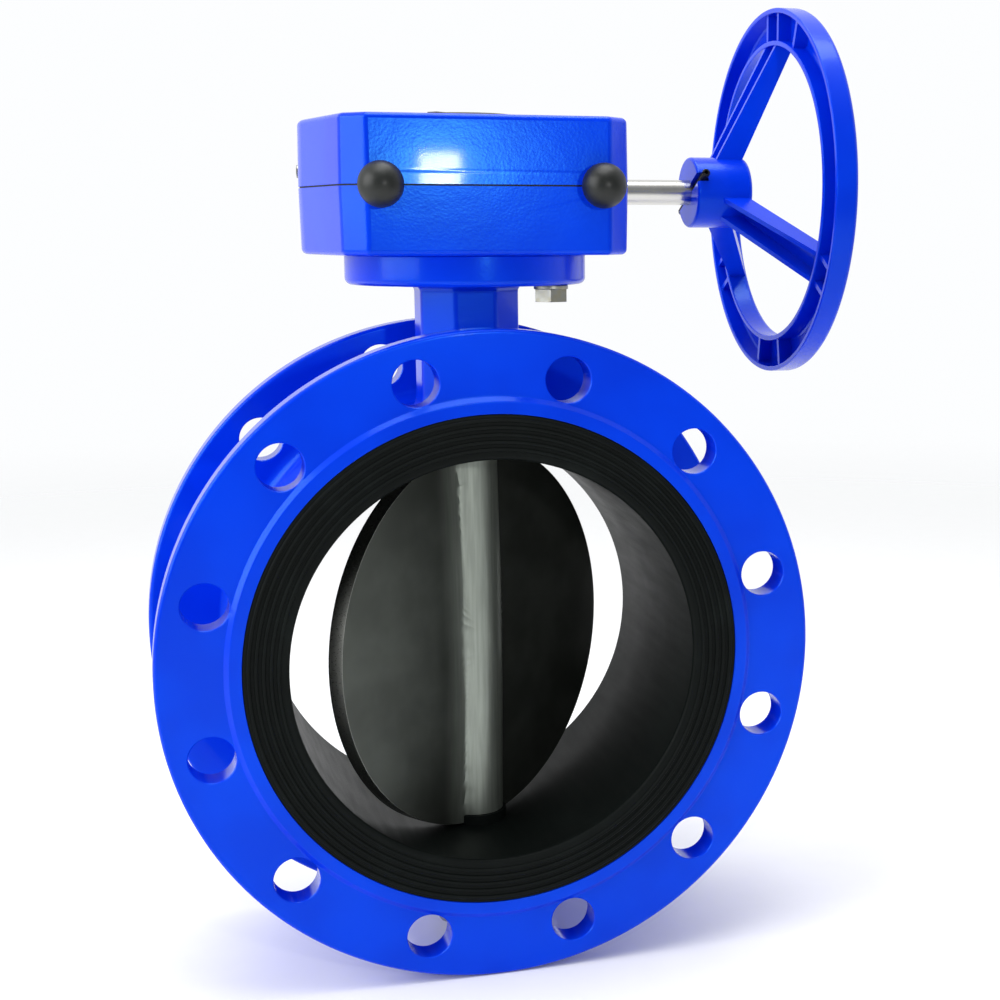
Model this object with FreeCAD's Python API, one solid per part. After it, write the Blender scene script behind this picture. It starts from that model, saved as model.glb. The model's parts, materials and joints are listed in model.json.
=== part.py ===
import FreeCAD, Part
import math
import os

# Double-flanged concentric butterfly valve, DN 250 PN 16, with a worm gear operator and handwheel.
# Frame: millimetres. The origin is the centre of the inlet sealing face, +Y runs down the pipe
# towards the outlet, +Z is up the stem and +X points to the handwheel.

Vec = FreeCAD.Vector

# ---- pipe connection, EN 1092-2 DN 250 PN 16 and EN 558 series 13 ----
FACE_TO_FACE = 165.0
FLANGE_R = 202.5
FLANGE_T = 22.0
FLANGE_EDGE_R = 2.5
BOLT_CIRCLE_R = 177.5
BOLT_COUNT = 12
BOLT_HOLE_R = 14.0
BOLT_HOLE_CHAMFER = 0.4
RAISED_FACE_R = 160.0
RAISED_FACE_H = 3.0
RAISED_SHOULDER = 3.0

# ---- bore, liner and barrel ----
BORE_R = 125.0
LINER_T = 10.0
LIP_R = 152.5
LIP_T = 6.0
LIP_RIDGES = 5
RIDGE_R = 1.3
LINER_EDGE_R = 3.0
BARREL_WALL = 15.0
BARREL_FILLET = 9.0
BOND_GAP = 0.1

# ---- neck, mounting flange (ISO 5211 F12) and bottom boss ----
NECK_FLATS = 62.0
MOUNT_FACE_Z = 245.0
MOUNT_FLANGE_R = 75.0
MOUNT_FLANGE_T = 18.5
MOUNT_FLANGE_EDGE_R = 4.0
MOUNT_CIRCLE_R = 62.5
SPIGOT_R = 42.5
SPIGOT_H = 3.0
BOSS_BOTTOM_Z = -184.0

# ---- stem, bushes and seals ----
STEM_R = 12.5
STEM_BUSH_T = 4.0
RUNNING_GAP = 0.05
LOOSE_GAP = 0.3
SLIP_GAP = 0.1
STEM_SQUARE = 18.0
SQUARE_BOTTOM_Z = 50.0
SQUARE_TOP_Z = 78.0
LOWER_STEM_TOP_Z = -60.0
O_RING_SECTION_R = 1.6
PLUG_R = 20.0
PLUG_THREAD_L = 16.0
PLUG_HEAD_H = 9.0
PLUG_HEAD_FLATS = 46.0
PLUG_GASKET_T = 1.5
THRUST_T = 3.0
CIRCLIP_T = 1.6
CIRCLIP_BITE = 1.2

# ---- disc ----
DISC_CLEARANCE = 0.5
DISC_CENTRE_T = 18.0
DISC_EDGE_T = 9.0
DISC_BOSS_R = 17.5
HUB_SEAT_R = 20.0
HUB_SEAT_Z = 118.0
REST_OPEN_DEG = 38.0
FULL_OPEN_DEG = 90.0

# ---- worm and quadrant gear ----
GEAR_MODULE = 3.5
GEAR_TEETH = 38
WORM_PITCH_R = 16.5
PRESSURE_DEG = 20.0
BACKLASH = 0.8
QUADRANT_T = 18.0
STOP_FACE_OFFSET = 22.0
HUB_JOURNAL_R = 24.0
HUB_BUSH_T = 3.0
HUB_BUSH_L = 16.0
QUADRANT_HUB_R = 33.0
QUADRANT_HUB_L = 42.0
WORM_THREAD_L = 56.0
WORM_SHAFT_R = 8.5
WORM_SHOULDER_R = 10.5

# ---- gearbox housing ----
HOUSING_HALF_H = 40.0
HOUSING_WALL = 7.0
HOUSING_FLOOR = 8.0
HOUSING_DRAFT_DEG = 1.0
HOUSING_EDGE_R = 3.5
GASKET_T = 1.0
GASKET_INSET = 0.8
FRONT_REACH = 84.0
FRONT_HALF_W = 72.0
CORNER_REACH = 71.0
CORNER_HALF_W = 85.5
RIGHT_W = 119.5
RIGHT_REACH = 50.0
RIGHT_BACK_W = 112.0
LEFT_W = 101.5
LEFT_REACH = 8.0
LEFT_BACK_W = 95.0
LEFT_BACK_REACH = 44.0
BACK_LEFT_W = 76.0
BACK_REACH = 78.0
TUNNEL_R = 32.0
TUNNEL_LEFT = -82.0
TUNNEL_RIGHT = 120.0
CHAMBER_R = 24.0
CHAMBER_LEFT = -53.0
CHAMBER_RIGHT = 84.0

# ---- bearings and seal on the worm shaft (6203 size) ----
BEARING_R = 20.0
BEARING_W = 12.0
BEARING_LEFT = -66.0
BEARING_RIGHT = 88.0
BALL_R = 3.3
BALL_COUNT = 8
SEAL_R = 15.0
SEAL_W = 7.0
SEAL_LEFT = 104.0
END_COVER_R = 30.0
END_COVER_T = 6.0
END_SCREW_CIRCLE_R = 25.0
END_SCREW_R = 2.5

# ---- fasteners ----
M12_R = 6.0
M12_FLATS = 19.0
M12_HEAD_H = 7.5
M12_CAP_HEAD_R = 9.0
M12_CAP_HEAD_H = 12.0
M12_HOLE_R = 6.75
MOUNT_BOLT_REACH = 17.0
HEX_BOLT_TURN = 16.0
WASHER_R = 10.5
WASHER_T = 2.5
M8_R = 4.0
M8_HEAD_R = 6.5
M8_HEAD_H = 8.0
COVER_SCREW_BOSS_R = 8.0
COVER_SCREW_REACH = 22.0
HEX_SOCKET_SHARE = 0.55
THREAD_GAP = 0.05
HEAD_GAP = 0.3

# ---- stop screws ----
STOP_X = 65.0
STOP_SCREW_R = 5.0
STOP_NUT_FLATS = 16.0
STOP_NUT_H = 6.0
STOP_TIP_GAP = 0.3
STOP_BOSS_R = 10.0
STOP_BOSS_L = 24.0
STOP_PAD_R = 10.8
STOP_PAD_H = 1.5
STOP_TAIL = 14.0
CAP_R = 13.1
CAP_STANDOFF = 9.0
CAP_POCKET_R = 9.6

# ---- position indicator ----
INDICATOR_R = 33.0
INDICATOR_T = 4.5
POINTER_W = 7.0
POINTER_H = 0.8
M5_R = 2.5
M5_HEAD_R = 4.5
M5_HEAD_H = 2.5
INDICATOR_SCREW_R = 17.0

# ---- handwheel ----
WHEEL_R = 125.0
RIM_W = 25.0
RIM_DEPTH = 16.0
RIM_WALL = 3.4
RIM_FLOOR = 4.0
RIM_X = 233.0
WHEEL_HUB_R = 24.0
WHEEL_HUB_X = 174.0
WHEEL_HUB_L = 40.0
SPOKE_COUNT = 3
SPOKE_HUB_X = 193.0
SPOKE_HUB_DEPTH = 19.0
SPOKE_RIM_DEPTH = 13.0
SPOKE_HUB_W = 17.0
SPOKE_RIM_W = 23.0
SPOKE_WALL = 3.2
RIM_RIB_DEGS = (22.0, 170.0, 190.0)
WHEEL_PIN_R = 2.8
WHEEL_PIN_L = 60.0
WHEEL_PIN_DEG = 64.0
WHEEL_PIN_INSET = 4.5
SHAFT_OVERHANG = 5.0

# ---- derived places ----
STEM_Y = FACE_TO_FACE / 2
BARREL_R = BORE_R + LINER_T + BARREL_WALL
LIP_RECESS_R = LIP_R + BOND_GAP
BODY_BORE_R = BORE_R + LINER_T + BOND_GAP
SEAM_Z = MOUNT_FACE_Z + HOUSING_HALF_H
TOP_Z = SEAM_Z + HOUSING_HALF_H
GEAR_PITCH_R = GEAR_MODULE * GEAR_TEETH / 2
CENTRE_DISTANCE = GEAR_PITCH_R + WORM_PITCH_R
WORM_Y = STEM_Y + CENTRE_DISTANCE
THREAD_PITCH = math.pi * GEAR_MODULE
LEAD_TAN = GEAR_MODULE / (2 * WORM_PITCH_R)
HALF_TRAVEL_DEG = FULL_OPEN_DEG / 2
STEM_BUSH_R = STEM_R + STEM_BUSH_T
STEM_TOP_Z = TOP_Z - 3
MOUNT_UNDER_Z = MOUNT_FACE_Z - MOUNT_FLANGE_T
DISC_R = BORE_R - DISC_CLEARANCE
FRONT_FACE_Y = STEM_Y - FRONT_REACH
RETAINER_Z = MOUNT_FACE_Z - SPIGOT_H - 8
RETAINER_R = STEM_R + 9

X_AXIS = Vec(1, 0, 0)
Y_AXIS = Vec(0, 1, 0)
Z_AXIS = Vec(0, 0, 1)
STEM_AXIS_POINT = Vec(0, STEM_Y, 0)
WORM_AXIS_POINT = Vec(0, WORM_Y, SEAM_Z)


# ---------------------------------------------------------------- helpers

def cylinder(radius, length, base, axis=Z_AXIS):
    return Part.makeCylinder(radius, length, base, axis)


def tube(outer, inner, length, base, axis=Z_AXIS):
    return cylinder(outer, length, base, axis).cut(cylinder(inner, length, base, axis))


def at_stem(z, x=0.0, y=0.0):
    """A point measured from the stem axis."""
    return Vec(x, STEM_Y + y, z)


def at_worm(x, y=0.0, z=0.0):
    """A point measured from the worm axis."""
    return Vec(x, WORM_Y + y, SEAM_Z + z)


def box(x0, x1, y0, y1, z0, z1):
    return Part.makeBox(x1 - x0, y1 - y0, z1 - z0, Vec(x0, y0, z0))


def fuse(first, *others):
    return first.multiFuse(list(others)).removeSplitter()


def rounded_wire(corners, place):
    """A closed outline through corners (u, v, radius), each rounded by its own radius."""
    ends = []
    for i, (u, v, radius) in enumerate(corners):
        here = Vec(u, v, 0)
        before = Vec(corners[i - 1][0], corners[i - 1][1], 0)
        after_corner = corners[(i + 1) % len(corners)]
        after = Vec(after_corner[0], after_corner[1], 0)
        back = (before - here).normalize()
        ahead = (after - here).normalize()
        if radius <= 0:
            ends.append((here, None, here))
            continue
        half = back.getAngle(ahead) / 2
        reach = radius / math.tan(half)
        inward = (back + ahead).normalize()
        middle = here + inward * (radius / math.sin(half) - radius)
        ends.append((here + back * reach, middle, here + ahead * reach))
    edges = []
    for i, (start, middle, end) in enumerate(ends):
        if middle is not None:
            arc = Part.Arc(place(start), place(middle), place(end))
            edges.append(arc.toShape())
        next_start = ends[(i + 1) % len(ends)][0]
        if end.distanceToPoint(next_start) > 1e-6:
            edges.append(Part.LineSegment(place(end), place(next_start)).toShape())
    return Part.Wire(edges)


def square_corners(*points):
    return [(u, v, 0.0) for u, v in points]


def revolved(corners, place, centre, axis):
    """A solid of revolution from an outline in (radius, distance along the axis)."""
    return Part.Face(rounded_wire(corners, place)).revolve(centre, axis, 360)


def revolved_about_pipe(corners):
    return revolved(corners, lambda p: Vec(p.x, p.y, 0), Vec(), Y_AXIS)


def revolved_about_stem(corners):
    return revolved(corners, lambda p: Vec(p.x, STEM_Y, p.y), STEM_AXIS_POINT, Z_AXIS)


def revolved_about_worm(corners):
    return revolved(corners, lambda p: at_worm(p.y, 0, p.x), WORM_AXIS_POINT, X_AXIS)


def prism(corners, place, direction):
    return Part.Face(rounded_wire(corners, place)).extrude(direction)


def hexagon(flats, height, base, axis=Z_AXIS, chamfer=0.8, turn=0.0):
    """A hexagonal prism whose corners are turned off at the far end."""
    corners = [polar(flats / math.sqrt(3), turn + 60 * i) + (0.0,) for i in range(6)]
    solid = prism(corners, lambda p: Vec(p.x, p.y, 0), Vec(0, 0, height))
    end_r = flats / math.sqrt(3) - chamfer
    cone = Part.makeCone(end_r + 2 * height + chamfer, end_r, 2 * height + chamfer,
                         Vec(0, 0, -height - chamfer))
    solid = solid.common(cone)
    solid.Placement = FreeCAD.Placement(base, FreeCAD.Rotation(Z_AXIS, axis))
    return solid


def edges_at_height(shape, z):
    return [e for e in shape.Edges if abs(e.BoundBox.ZMin - z) < 1e-4 and abs(e.BoundBox.ZMax - z) < 1e-4]


def turned(shape, degrees, centre=STEM_AXIS_POINT, axis=Z_AXIS):
    copy = shape.copy()
    copy.rotate(centre, axis, degrees)
    return copy


def at_rest(shape):
    """Turn a stem piece from the closed position to the position the valve is stored in."""
    return turned(shape, REST_OPEN_DEG)


def polar(radius, degrees):
    return radius * math.cos(math.radians(degrees)), radius * math.sin(math.radians(degrees))


def socket_screw(head_r, head_h, shank_r, shank_l, head_top, axis):
    """A socket head screw: axis points from the head's top face towards the shank's tip."""
    head = cylinder(head_r, head_h, head_top, axis)
    shank = cylinder(shank_r, shank_l, head_top + axis * head_h, axis)
    socket = hexagon(2 * head_r * HEX_SOCKET_SHARE, head_h * 0.6, head_top, axis, 0.0)
    return head.fuse(shank).cut(socket)


def ring_of(make_one, count, start_deg=0.0):
    return Part.makeCompound([make_one(start_deg + 360.0 * i / count) for i in range(count)])


# ---------------------------------------------------------------- valve body

def spool():
    """Both flanges and the barrel between them, as one turned shape."""
    back = FACE_TO_FACE
    corners = [
        (0.0, 0.0, 0.0),
        (RAISED_FACE_R, 0.0, 0.0),
        (RAISED_FACE_R + RAISED_SHOULDER, RAISED_FACE_H, 0.0),
        (FLANGE_R, RAISED_FACE_H, FLANGE_EDGE_R),
        (FLANGE_R, FLANGE_T, FLANGE_EDGE_R),
        (BARREL_R, FLANGE_T, BARREL_FILLET),
        (BARREL_R, back - FLANGE_T, BARREL_FILLET),
        (FLANGE_R, back - FLANGE_T, FLANGE_EDGE_R),
        (FLANGE_R, back - RAISED_FACE_H, FLANGE_EDGE_R),
        (RAISED_FACE_R + RAISED_SHOULDER, back - RAISED_FACE_H, 0.0),
        (RAISED_FACE_R, back, 0.0),
        (0.0, back, 0.0),
    ]
    return revolved_about_pipe(corners)


def bore_and_lip_recesses():
    back = FACE_TO_FACE
    depth = LIP_T
    margin = 1.0
    corners = square_corners(
        (0.0, -margin), (LIP_RECESS_R, -margin), (LIP_RECESS_R, depth), (BODY_BORE_R, depth),
        (BODY_BORE_R, back - depth), (LIP_RECESS_R, back - depth), (LIP_RECESS_R, back + margin),
        (0.0, back + margin))
    return revolved_about_pipe(corners)


def flange_bolt_holes():
    """Twelve holes straddling the vertical, chamfered at the face of each flange."""
    def one(degrees):
        x, z = polar(BOLT_CIRCLE_R, degrees)
        hole = cylinder(BOLT_HOLE_R, FACE_TO_FACE, Vec(x, 0, z), Y_AXIS)
        wide = BOLT_HOLE_R + BOLT_HOLE_CHAMFER
        front = Part.makeCone(wide, BOLT_HOLE_R, BOLT_HOLE_CHAMFER, Vec(x, RAISED_FACE_H, z), Y_AXIS)
        back_face = Vec(x, FACE_TO_FACE - RAISED_FACE_H, z)
        back = Part.makeCone(wide, BOLT_HOLE_R, BOLT_HOLE_CHAMFER, back_face, -Y_AXIS)
        return hole.fuse(front).fuse(back)
    return ring_of(one, BOLT_COUNT, 180.0 / BOLT_COUNT)


def octagonal_neck():
    """The column with eight flats between the barrel and the mounting flange."""
    corner_r = NECK_FLATS / 2 / math.cos(math.radians(22.5))
    corners = [polar(corner_r, 22.5 + 45 * i) + (1.2,) for i in range(8)]
    root_z = BARREL_R - BARREL_WALL
    return prism(corners, lambda p: at_stem(root_z, p.x, p.y), Vec(0, 0, MOUNT_UNDER_Z + 1 - root_z))


def mounting_flange():
    corners = [
        (0.0, MOUNT_UNDER_Z, 0.0),
        (MOUNT_FLANGE_R, MOUNT_UNDER_Z, MOUNT_FLANGE_EDGE_R),
        (MOUNT_FLANGE_R, MOUNT_FACE_Z, 1.0),
        (0.0, MOUNT_FACE_Z, 0.0),
    ]
    return revolved_about_stem(corners)


def bottom_boss():
    root_z = -(BARREL_R - BARREL_WALL)
    return cylinder(NECK_FLATS / 2, root_z - BOSS_BOTTOM_Z, at_stem(BOSS_BOTTOM_Z))


def stem_passages():
    """Everything turned out of the neck and the bottom boss along the stem axis."""
    upper = cylinder(STEM_BUSH_R, RETAINER_Z + 1, at_stem(0))
    retainer = cylinder(RETAINER_R + LOOSE_GAP, MOUNT_FACE_Z - RETAINER_Z + 1, at_stem(RETAINER_Z))
    spigot_depth = SPIGOT_H + SLIP_GAP
    spigot = cylinder(SPIGOT_R + SLIP_GAP, spigot_depth + 1, at_stem(MOUNT_FACE_Z - spigot_depth))
    lower_depth = -BOSS_BOTTOM_Z
    lower = cylinder(STEM_BUSH_R, lower_depth, at_stem(BOSS_BOTTOM_Z))
    plug = cylinder(PLUG_R, PLUG_THREAD_L + 1, at_stem(BOSS_BOTTOM_Z - 1))
    return [upper, retainer, spigot, lower, plug]


def mount_positions():
    """The four bolt places on the mounting flange; the front right one takes the hex bolt."""
    return [polar(MOUNT_CIRCLE_R, 45 + 90 * i) for i in range(4)]


def hex_bolt_position():
    return polar(MOUNT_CIRCLE_R, -45)


def socket_screw_positions():
    hex_x, hex_y = hex_bolt_position()
    return [(x, y) for x, y in mount_positions() if math.hypot(x - hex_x, y - hex_y) > 1]


def mounting_holes():
    through = [cylinder(M12_HOLE_R, MOUNT_FLANGE_T, at_stem(MOUNT_UNDER_Z, x, y))
               for x, y in mount_positions()]
    sunk = [cylinder(M12_CAP_HEAD_R + HEAD_GAP, M12_CAP_HEAD_H + HEAD_GAP, at_stem(MOUNT_UNDER_Z, x, y))
            for x, y in socket_screw_positions()]
    return through + sunk


def valve_body():
    body = fuse(spool(), octagonal_neck(), mounting_flange(), bottom_boss())
    cuts = [bore_and_lip_recesses(), flange_bolt_holes()] + stem_passages() + mounting_holes()
    return body.cut(cuts)


def rubber_liner():
    """The rubber sleeve: a lip with ridges at each end, and a flat pad round each stem hole."""
    back = FACE_TO_FACE
    outer = BORE_R + LINER_T
    corners = [
        (BORE_R, 0.0, LINER_EDGE_R), (LIP_R, 0.0, 1.0), (LIP_R, LIP_T - BOND_GAP, 0.0),
        (outer, LIP_T - BOND_GAP, 0.0), (outer, back - LIP_T + BOND_GAP, 0.0),
        (LIP_R, back - LIP_T + BOND_GAP, 0.0), (LIP_R, back, 1.0), (BORE_R, back, LINER_EDGE_R)]
    liner = revolved_about_pipe(corners)
    spacing = (LIP_R - BORE_R - LINER_EDGE_R - 2 * RIDGE_R) / LIP_RIDGES
    first = BORE_R + LINER_EDGE_R + spacing / 2 + RIDGE_R
    radii = [first + spacing * i for i in range(LIP_RIDGES)]
    ridges = [Part.makeTorus(r, RIDGE_R, Vec(0, y, 0), Y_AXIS) for r in radii for y in (0.0, back)]
    hole = cylinder(STEM_R + LOOSE_GAP, 2 * BARREL_R, at_stem(-BARREL_R))
    pads = hub_seats(HUB_SEAT_R - LOOSE_GAP, HUB_SEAT_Z)
    return liner.multiFuse(ridges + pads).cut(hole)


# ---------------------------------------------------------------- stem, bushes and seals

def upper_stem_bush():
    """The long bush in the neck, with two grooves inside for the O-rings."""
    bottom = BARREL_R - BARREL_WALL + 2
    bush = tube(STEM_BUSH_R, STEM_R + RUNNING_GAP, RETAINER_Z - bottom, at_stem(bottom))
    return bush.cut([o_ring_groove(z) for z in o_ring_heights()])


def o_ring_heights():
    middle = (BARREL_R + RETAINER_Z) / 2
    return (middle - 6, middle + 6)


def o_ring_groove(z):
    radius = STEM_R + RUNNING_GAP + 2 * O_RING_SECTION_R + SLIP_GAP
    half = O_RING_SECTION_R + SLIP_GAP
    return cylinder(radius, 2 * half, at_stem(z - half))


def stem_o_rings():
    radius = STEM_R + RUNNING_GAP + O_RING_SECTION_R
    rings = [Part.makeTorus(radius, O_RING_SECTION_R, at_stem(z), Z_AXIS) for z in o_ring_heights()]
    return Part.makeCompound(rings)


def lower_stem_bush():
    top = -(BARREL_R - BARREL_WALL + 2)
    bottom = BOSS_BOTTOM_Z + PLUG_THREAD_L
    return tube(STEM_BUSH_R, STEM_R + RUNNING_GAP, top - bottom, at_stem(bottom))


def thrust_washer():
    return tube(RETAINER_R, STEM_R + RUNNING_GAP, THRUST_T, at_stem(RETAINER_Z))


def circlip_z():
    return RETAINER_Z + THRUST_T + SLIP_GAP


def stem_circlip():
    """An open spring ring in the stem's groove, holding the stem down on its washer."""
    ring = tube(STEM_R + 5, STEM_R - CIRCLIP_BITE, CIRCLIP_T, at_stem(circlip_z()))
    gap = box(-3, 3, STEM_Y, STEM_Y + STEM_R + 6, circlip_z() - 1, circlip_z() + CIRCLIP_T + 1)
    return at_rest(ring.cut(gap))


def key_size():
    """Width and height of the key in the stem, as standard for this shaft size."""
    return STEM_R * 0.64, STEM_R * 0.56


def key_span():
    middle = SEAM_Z
    return middle - QUADRANT_HUB_L / 2 + 2, middle + QUADRANT_HUB_L / 2 - 2


def key_block(gap=0.0):
    width, height = key_size()
    low, high = key_span()
    inner = STEM_R - height / 2
    return box(-width / 2 - gap, width / 2 + gap, STEM_Y + inner - gap, STEM_Y + inner + height + gap,
               low - gap, high + gap)


def stem_key():
    return at_rest(key_block())


def square_shaft(flats, z0, z1):
    half = flats / 2
    return box(-half, half, STEM_Y - half, STEM_Y + half, z0, z1)


def upper_stem():
    """The driving stem: a square in the disc, a plain shaft through the neck, a key in the gear."""
    shaft = cylinder(STEM_R, STEM_TOP_Z - SQUARE_TOP_Z, at_stem(SQUARE_TOP_Z))
    top_edges = edges_at_height(shaft, STEM_TOP_Z)
    shaft = shaft.makeChamfer(1.5, top_edges)
    stem = shaft.fuse(square_shaft(STEM_SQUARE, SQUARE_BOTTOM_Z, SQUARE_TOP_Z))
    groove_r = STEM_R - CIRCLIP_BITE - SLIP_GAP
    groove = tube(STEM_R + 1, groove_r, CIRCLIP_T + 2 * SLIP_GAP, at_stem(circlip_z() - SLIP_GAP))
    return at_rest(stem.cut([groove, key_block(THREAD_GAP)]))


def lower_stem():
    bottom = BOSS_BOTTOM_Z + PLUG_THREAD_L + SLIP_GAP
    shaft = cylinder(STEM_R, LOWER_STEM_TOP_Z - bottom, at_stem(bottom))
    shaft = shaft.makeChamfer(1.2, edges_at_height(shaft, bottom) + edges_at_height(shaft, LOWER_STEM_TOP_Z))
    return at_rest(shaft)


def bottom_plug():
    """The hex plug that closes the lower stem's bore."""
    thread = cylinder(PLUG_R - THREAD_GAP, PLUG_THREAD_L, at_stem(BOSS_BOTTOM_Z))
    seat_z = BOSS_BOTTOM_Z - PLUG_GASKET_T
    neck = cylinder(PLUG_R - 1, PLUG_GASKET_T, at_stem(seat_z))
    head = hexagon(PLUG_HEAD_FLATS, PLUG_HEAD_H, at_stem(seat_z), -Z_AXIS, 1.5)
    return fuse(thread, neck, head)


def bottom_plug_gasket():
    outer = PLUG_HEAD_FLATS / 2 - 1
    return tube(outer, PLUG_R - 1 + SLIP_GAP, PLUG_GASKET_T, at_stem(BOSS_BOTTOM_Z - PLUG_GASKET_T))


# ---------------------------------------------------------------- disc

def hub_seats(radius, start_z):
    """Short cylinders at the top and the bottom of the bore, where the disc's boss ends flat."""
    length = BORE_R + LINER_T / 3 - start_z
    return [cylinder(radius, length, at_stem(z)) for z in (start_z, -start_z - length)]


def valve_disc():
    """A lens-shaped disc with a stem boss across it, turned to a sphere so that it swings freely."""
    half_centre = DISC_CENTRE_T / 2
    half_edge = DISC_EDGE_T / 2
    rim = DISC_R + 2
    corners = square_corners(
        (0.0, STEM_Y - half_centre), (rim * 0.35, STEM_Y - half_centre), (rim, STEM_Y - half_edge),
        (rim, STEM_Y + half_edge), (rim * 0.35, STEM_Y + half_centre), (0.0, STEM_Y + half_centre))
    plate = revolved_about_pipe(corners)
    boss = cylinder(DISC_BOSS_R, 2 * rim, at_stem(-rim))
    sphere = Part.makeSphere(DISC_R, at_stem(0))
    disc = plate.fuse(boss).common(sphere).cut(hub_seats(HUB_SEAT_R, HUB_SEAT_Z - LOOSE_GAP))
    upper_hole = cylinder(STEM_R + SLIP_GAP, rim, at_stem(SQUARE_TOP_Z))
    socket = square_shaft(STEM_SQUARE + 2 * SLIP_GAP, SQUARE_BOTTOM_Z - SLIP_GAP, SQUARE_TOP_Z + 1)
    lower_hole = cylinder(STEM_R + SLIP_GAP, rim, at_stem(LOWER_STEM_TOP_Z + SLIP_GAP - rim))
    return at_rest(disc.cut([upper_hole, socket, lower_hole]))


# ---------------------------------------------------------------- quadrant gear

def involute_turn(base_r, radius):
    """How far round, in radians, an involute from a base circle has turned at a radius."""
    pressure = math.acos(min(1.0, base_r / radius))
    return math.tan(pressure) - pressure


def tooth_gap():
    """The space between two teeth, centred on +Y at the stem, leaning with the worm's lead."""
    tip_r = GEAR_PITCH_R + GEAR_MODULE
    root_r = GEAR_PITCH_R - 1.25 * GEAR_MODULE
    base_r = GEAR_PITCH_R * math.cos(math.radians(PRESSURE_DEG))
    half_gap = (THREAD_PITCH + BACKLASH) / 4 / GEAR_PITCH_R
    at_pitch = involute_turn(base_r, GEAR_PITCH_R)
    radii = [max(base_r, root_r) + 0.01 + (tip_r + 1 - base_r) * i / 5 for i in range(6)]
    flank = [(r, half_gap - at_pitch + involute_turn(base_r, r)) for r in radii]
    lean = LEAD_TAN * (QUADRANT_T + 2)
    start = SEAM_Z - QUADRANT_T / 2 - 1

    def point(radius, angle):
        return at_stem(start, radius * math.sin(angle) + lean / 2, radius * math.cos(angle))

    right = Part.BSplineCurve()
    right.interpolate([point(r, a) for r, a in flank])
    left = Part.BSplineCurve()
    left.interpolate([point(r, -a) for r, a in reversed(flank)])
    root = [point(root_r, -flank[0][1]), point(root_r, flank[0][1])]
    wire = Part.Wire([
        Part.LineSegment(root[1], point(*flank[0])).toShape(),
        right.toShape(),
        Part.LineSegment(point(*flank[-1]), point(flank[-1][0], -flank[-1][1])).toShape(),
        left.toShape(),
        Part.LineSegment(point(flank[0][0], -flank[0][1]), root[0]).toShape(),
        Part.LineSegment(root[0], root[1]).toShape()])
    return Part.Face(wire).extrude(Vec(-lean, 0, QUADRANT_T + 2))


def quadrant_sector():
    """The toothed sector, modelled at mid travel, with a flat stop face at each end."""
    tip_r = GEAR_PITCH_R + GEAR_MODULE
    low = SEAM_Z - QUADRANT_T / 2
    blank = cylinder(tip_r, QUADRANT_T, at_stem(low))
    beyond = 2 * tip_r
    stop_face_y = STEM_Y - STOP_FACE_OFFSET
    behind_stop = box(-beyond, beyond, STEM_Y - beyond, stop_face_y, low - 1, low + QUADRANT_T + 1)
    stop_cuts = [turned(behind_stop, sign * HALF_TRAVEL_DEG) for sign in (1, -1)]
    blank = blank.cut(stop_cuts)
    gap_step = 360.0 / GEAR_TEETH
    mesh_deg = HALF_TRAVEL_DEG - REST_OPEN_DEG
    gap = tooth_gap()
    gaps = [turned(gap, mesh_deg + gap_step * i) for i in range(-8, 9)]
    return blank.cut(gaps)


def quadrant_gear():
    sector = turned(quadrant_sector(), -HALF_TRAVEL_DEG)
    hub = cylinder(QUADRANT_HUB_R, QUADRANT_HUB_L, at_stem(SEAM_Z - QUADRANT_HUB_L / 2))
    journal_l = TOP_Z - MOUNT_FACE_Z
    journal = cylinder(HUB_JOURNAL_R, journal_l, at_stem(MOUNT_FACE_Z))
    gear = fuse(sector, hub, journal)
    bore = cylinder(STEM_R + SLIP_GAP, journal_l + 2, at_stem(MOUNT_FACE_Z - 1))
    screw_holes = [cylinder(M5_R, 12, at_stem(TOP_Z - 11, *polar(INDICATOR_SCREW_R, 90 + 180 * i)))
                   for i in range(2)]
    return at_rest(gear.cut([bore, key_block(THREAD_GAP)] + screw_holes))


def quadrant_bushes():
    lower = tube(HUB_JOURNAL_R + HUB_BUSH_T, HUB_JOURNAL_R + RUNNING_GAP, HUB_BUSH_L, at_stem(MOUNT_FACE_Z))
    upper_z = TOP_Z - HUB_BUSH_L
    upper = tube(HUB_JOURNAL_R + HUB_BUSH_T, HUB_JOURNAL_R + RUNNING_GAP, HUB_BUSH_L, at_stem(upper_z))
    return Part.makeCompound([lower, upper])


# ---------------------------------------------------------------- worm shaft and its bearings

def worm_thread():
    """A right-hand thread of rack section, swept along a helix and trimmed to the worm's length."""
    tip_r = WORM_PITCH_R + GEAR_MODULE
    root_r = WORM_PITCH_R - 1.25 * GEAR_MODULE
    slope = math.tan(math.radians(PRESSURE_DEG))
    half_pitch_w = (THREAD_PITCH - BACKLASH) / 4
    half_tip = half_pitch_w - GEAR_MODULE * slope
    foot_r = root_r - 0.6
    half_foot = half_pitch_w + (WORM_PITCH_R - foot_r) * slope
    length = WORM_THREAD_L + 2 * THREAD_PITCH
    helix = Part.makeHelix(THREAD_PITCH, length, root_r)
    outline = [(foot_r, -half_foot), (tip_r, -half_tip), (tip_r, half_tip), (foot_r, half_foot)]
    profile = Part.makePolygon([Vec(r, 0, z) for r, z in outline + outline[:1]])
    thread = Part.Wire(helix).makePipeShell([profile], True, True)
    thread.translate(Vec(0, 0, -length / 2))
    thread.rotate(Vec(), Z_AXIS, -90 - 360 * (length / 2) / THREAD_PITCH)
    thread.rotate(Vec(), Y_AXIS, 90)
    thread.translate(WORM_AXIS_POINT)
    half = WORM_THREAD_L / 2 - 0.5
    crown_r = tip_r + 0.5
    crown = half - 3.5
    sunk_r = root_r - 1.5
    envelope = revolved_about_worm(square_corners(
        (0.0, -half), (sunk_r, -half), (crown_r, -crown), (crown_r, crown), (sunk_r, half), (0.0, half)))
    return thread.common(envelope)


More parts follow.
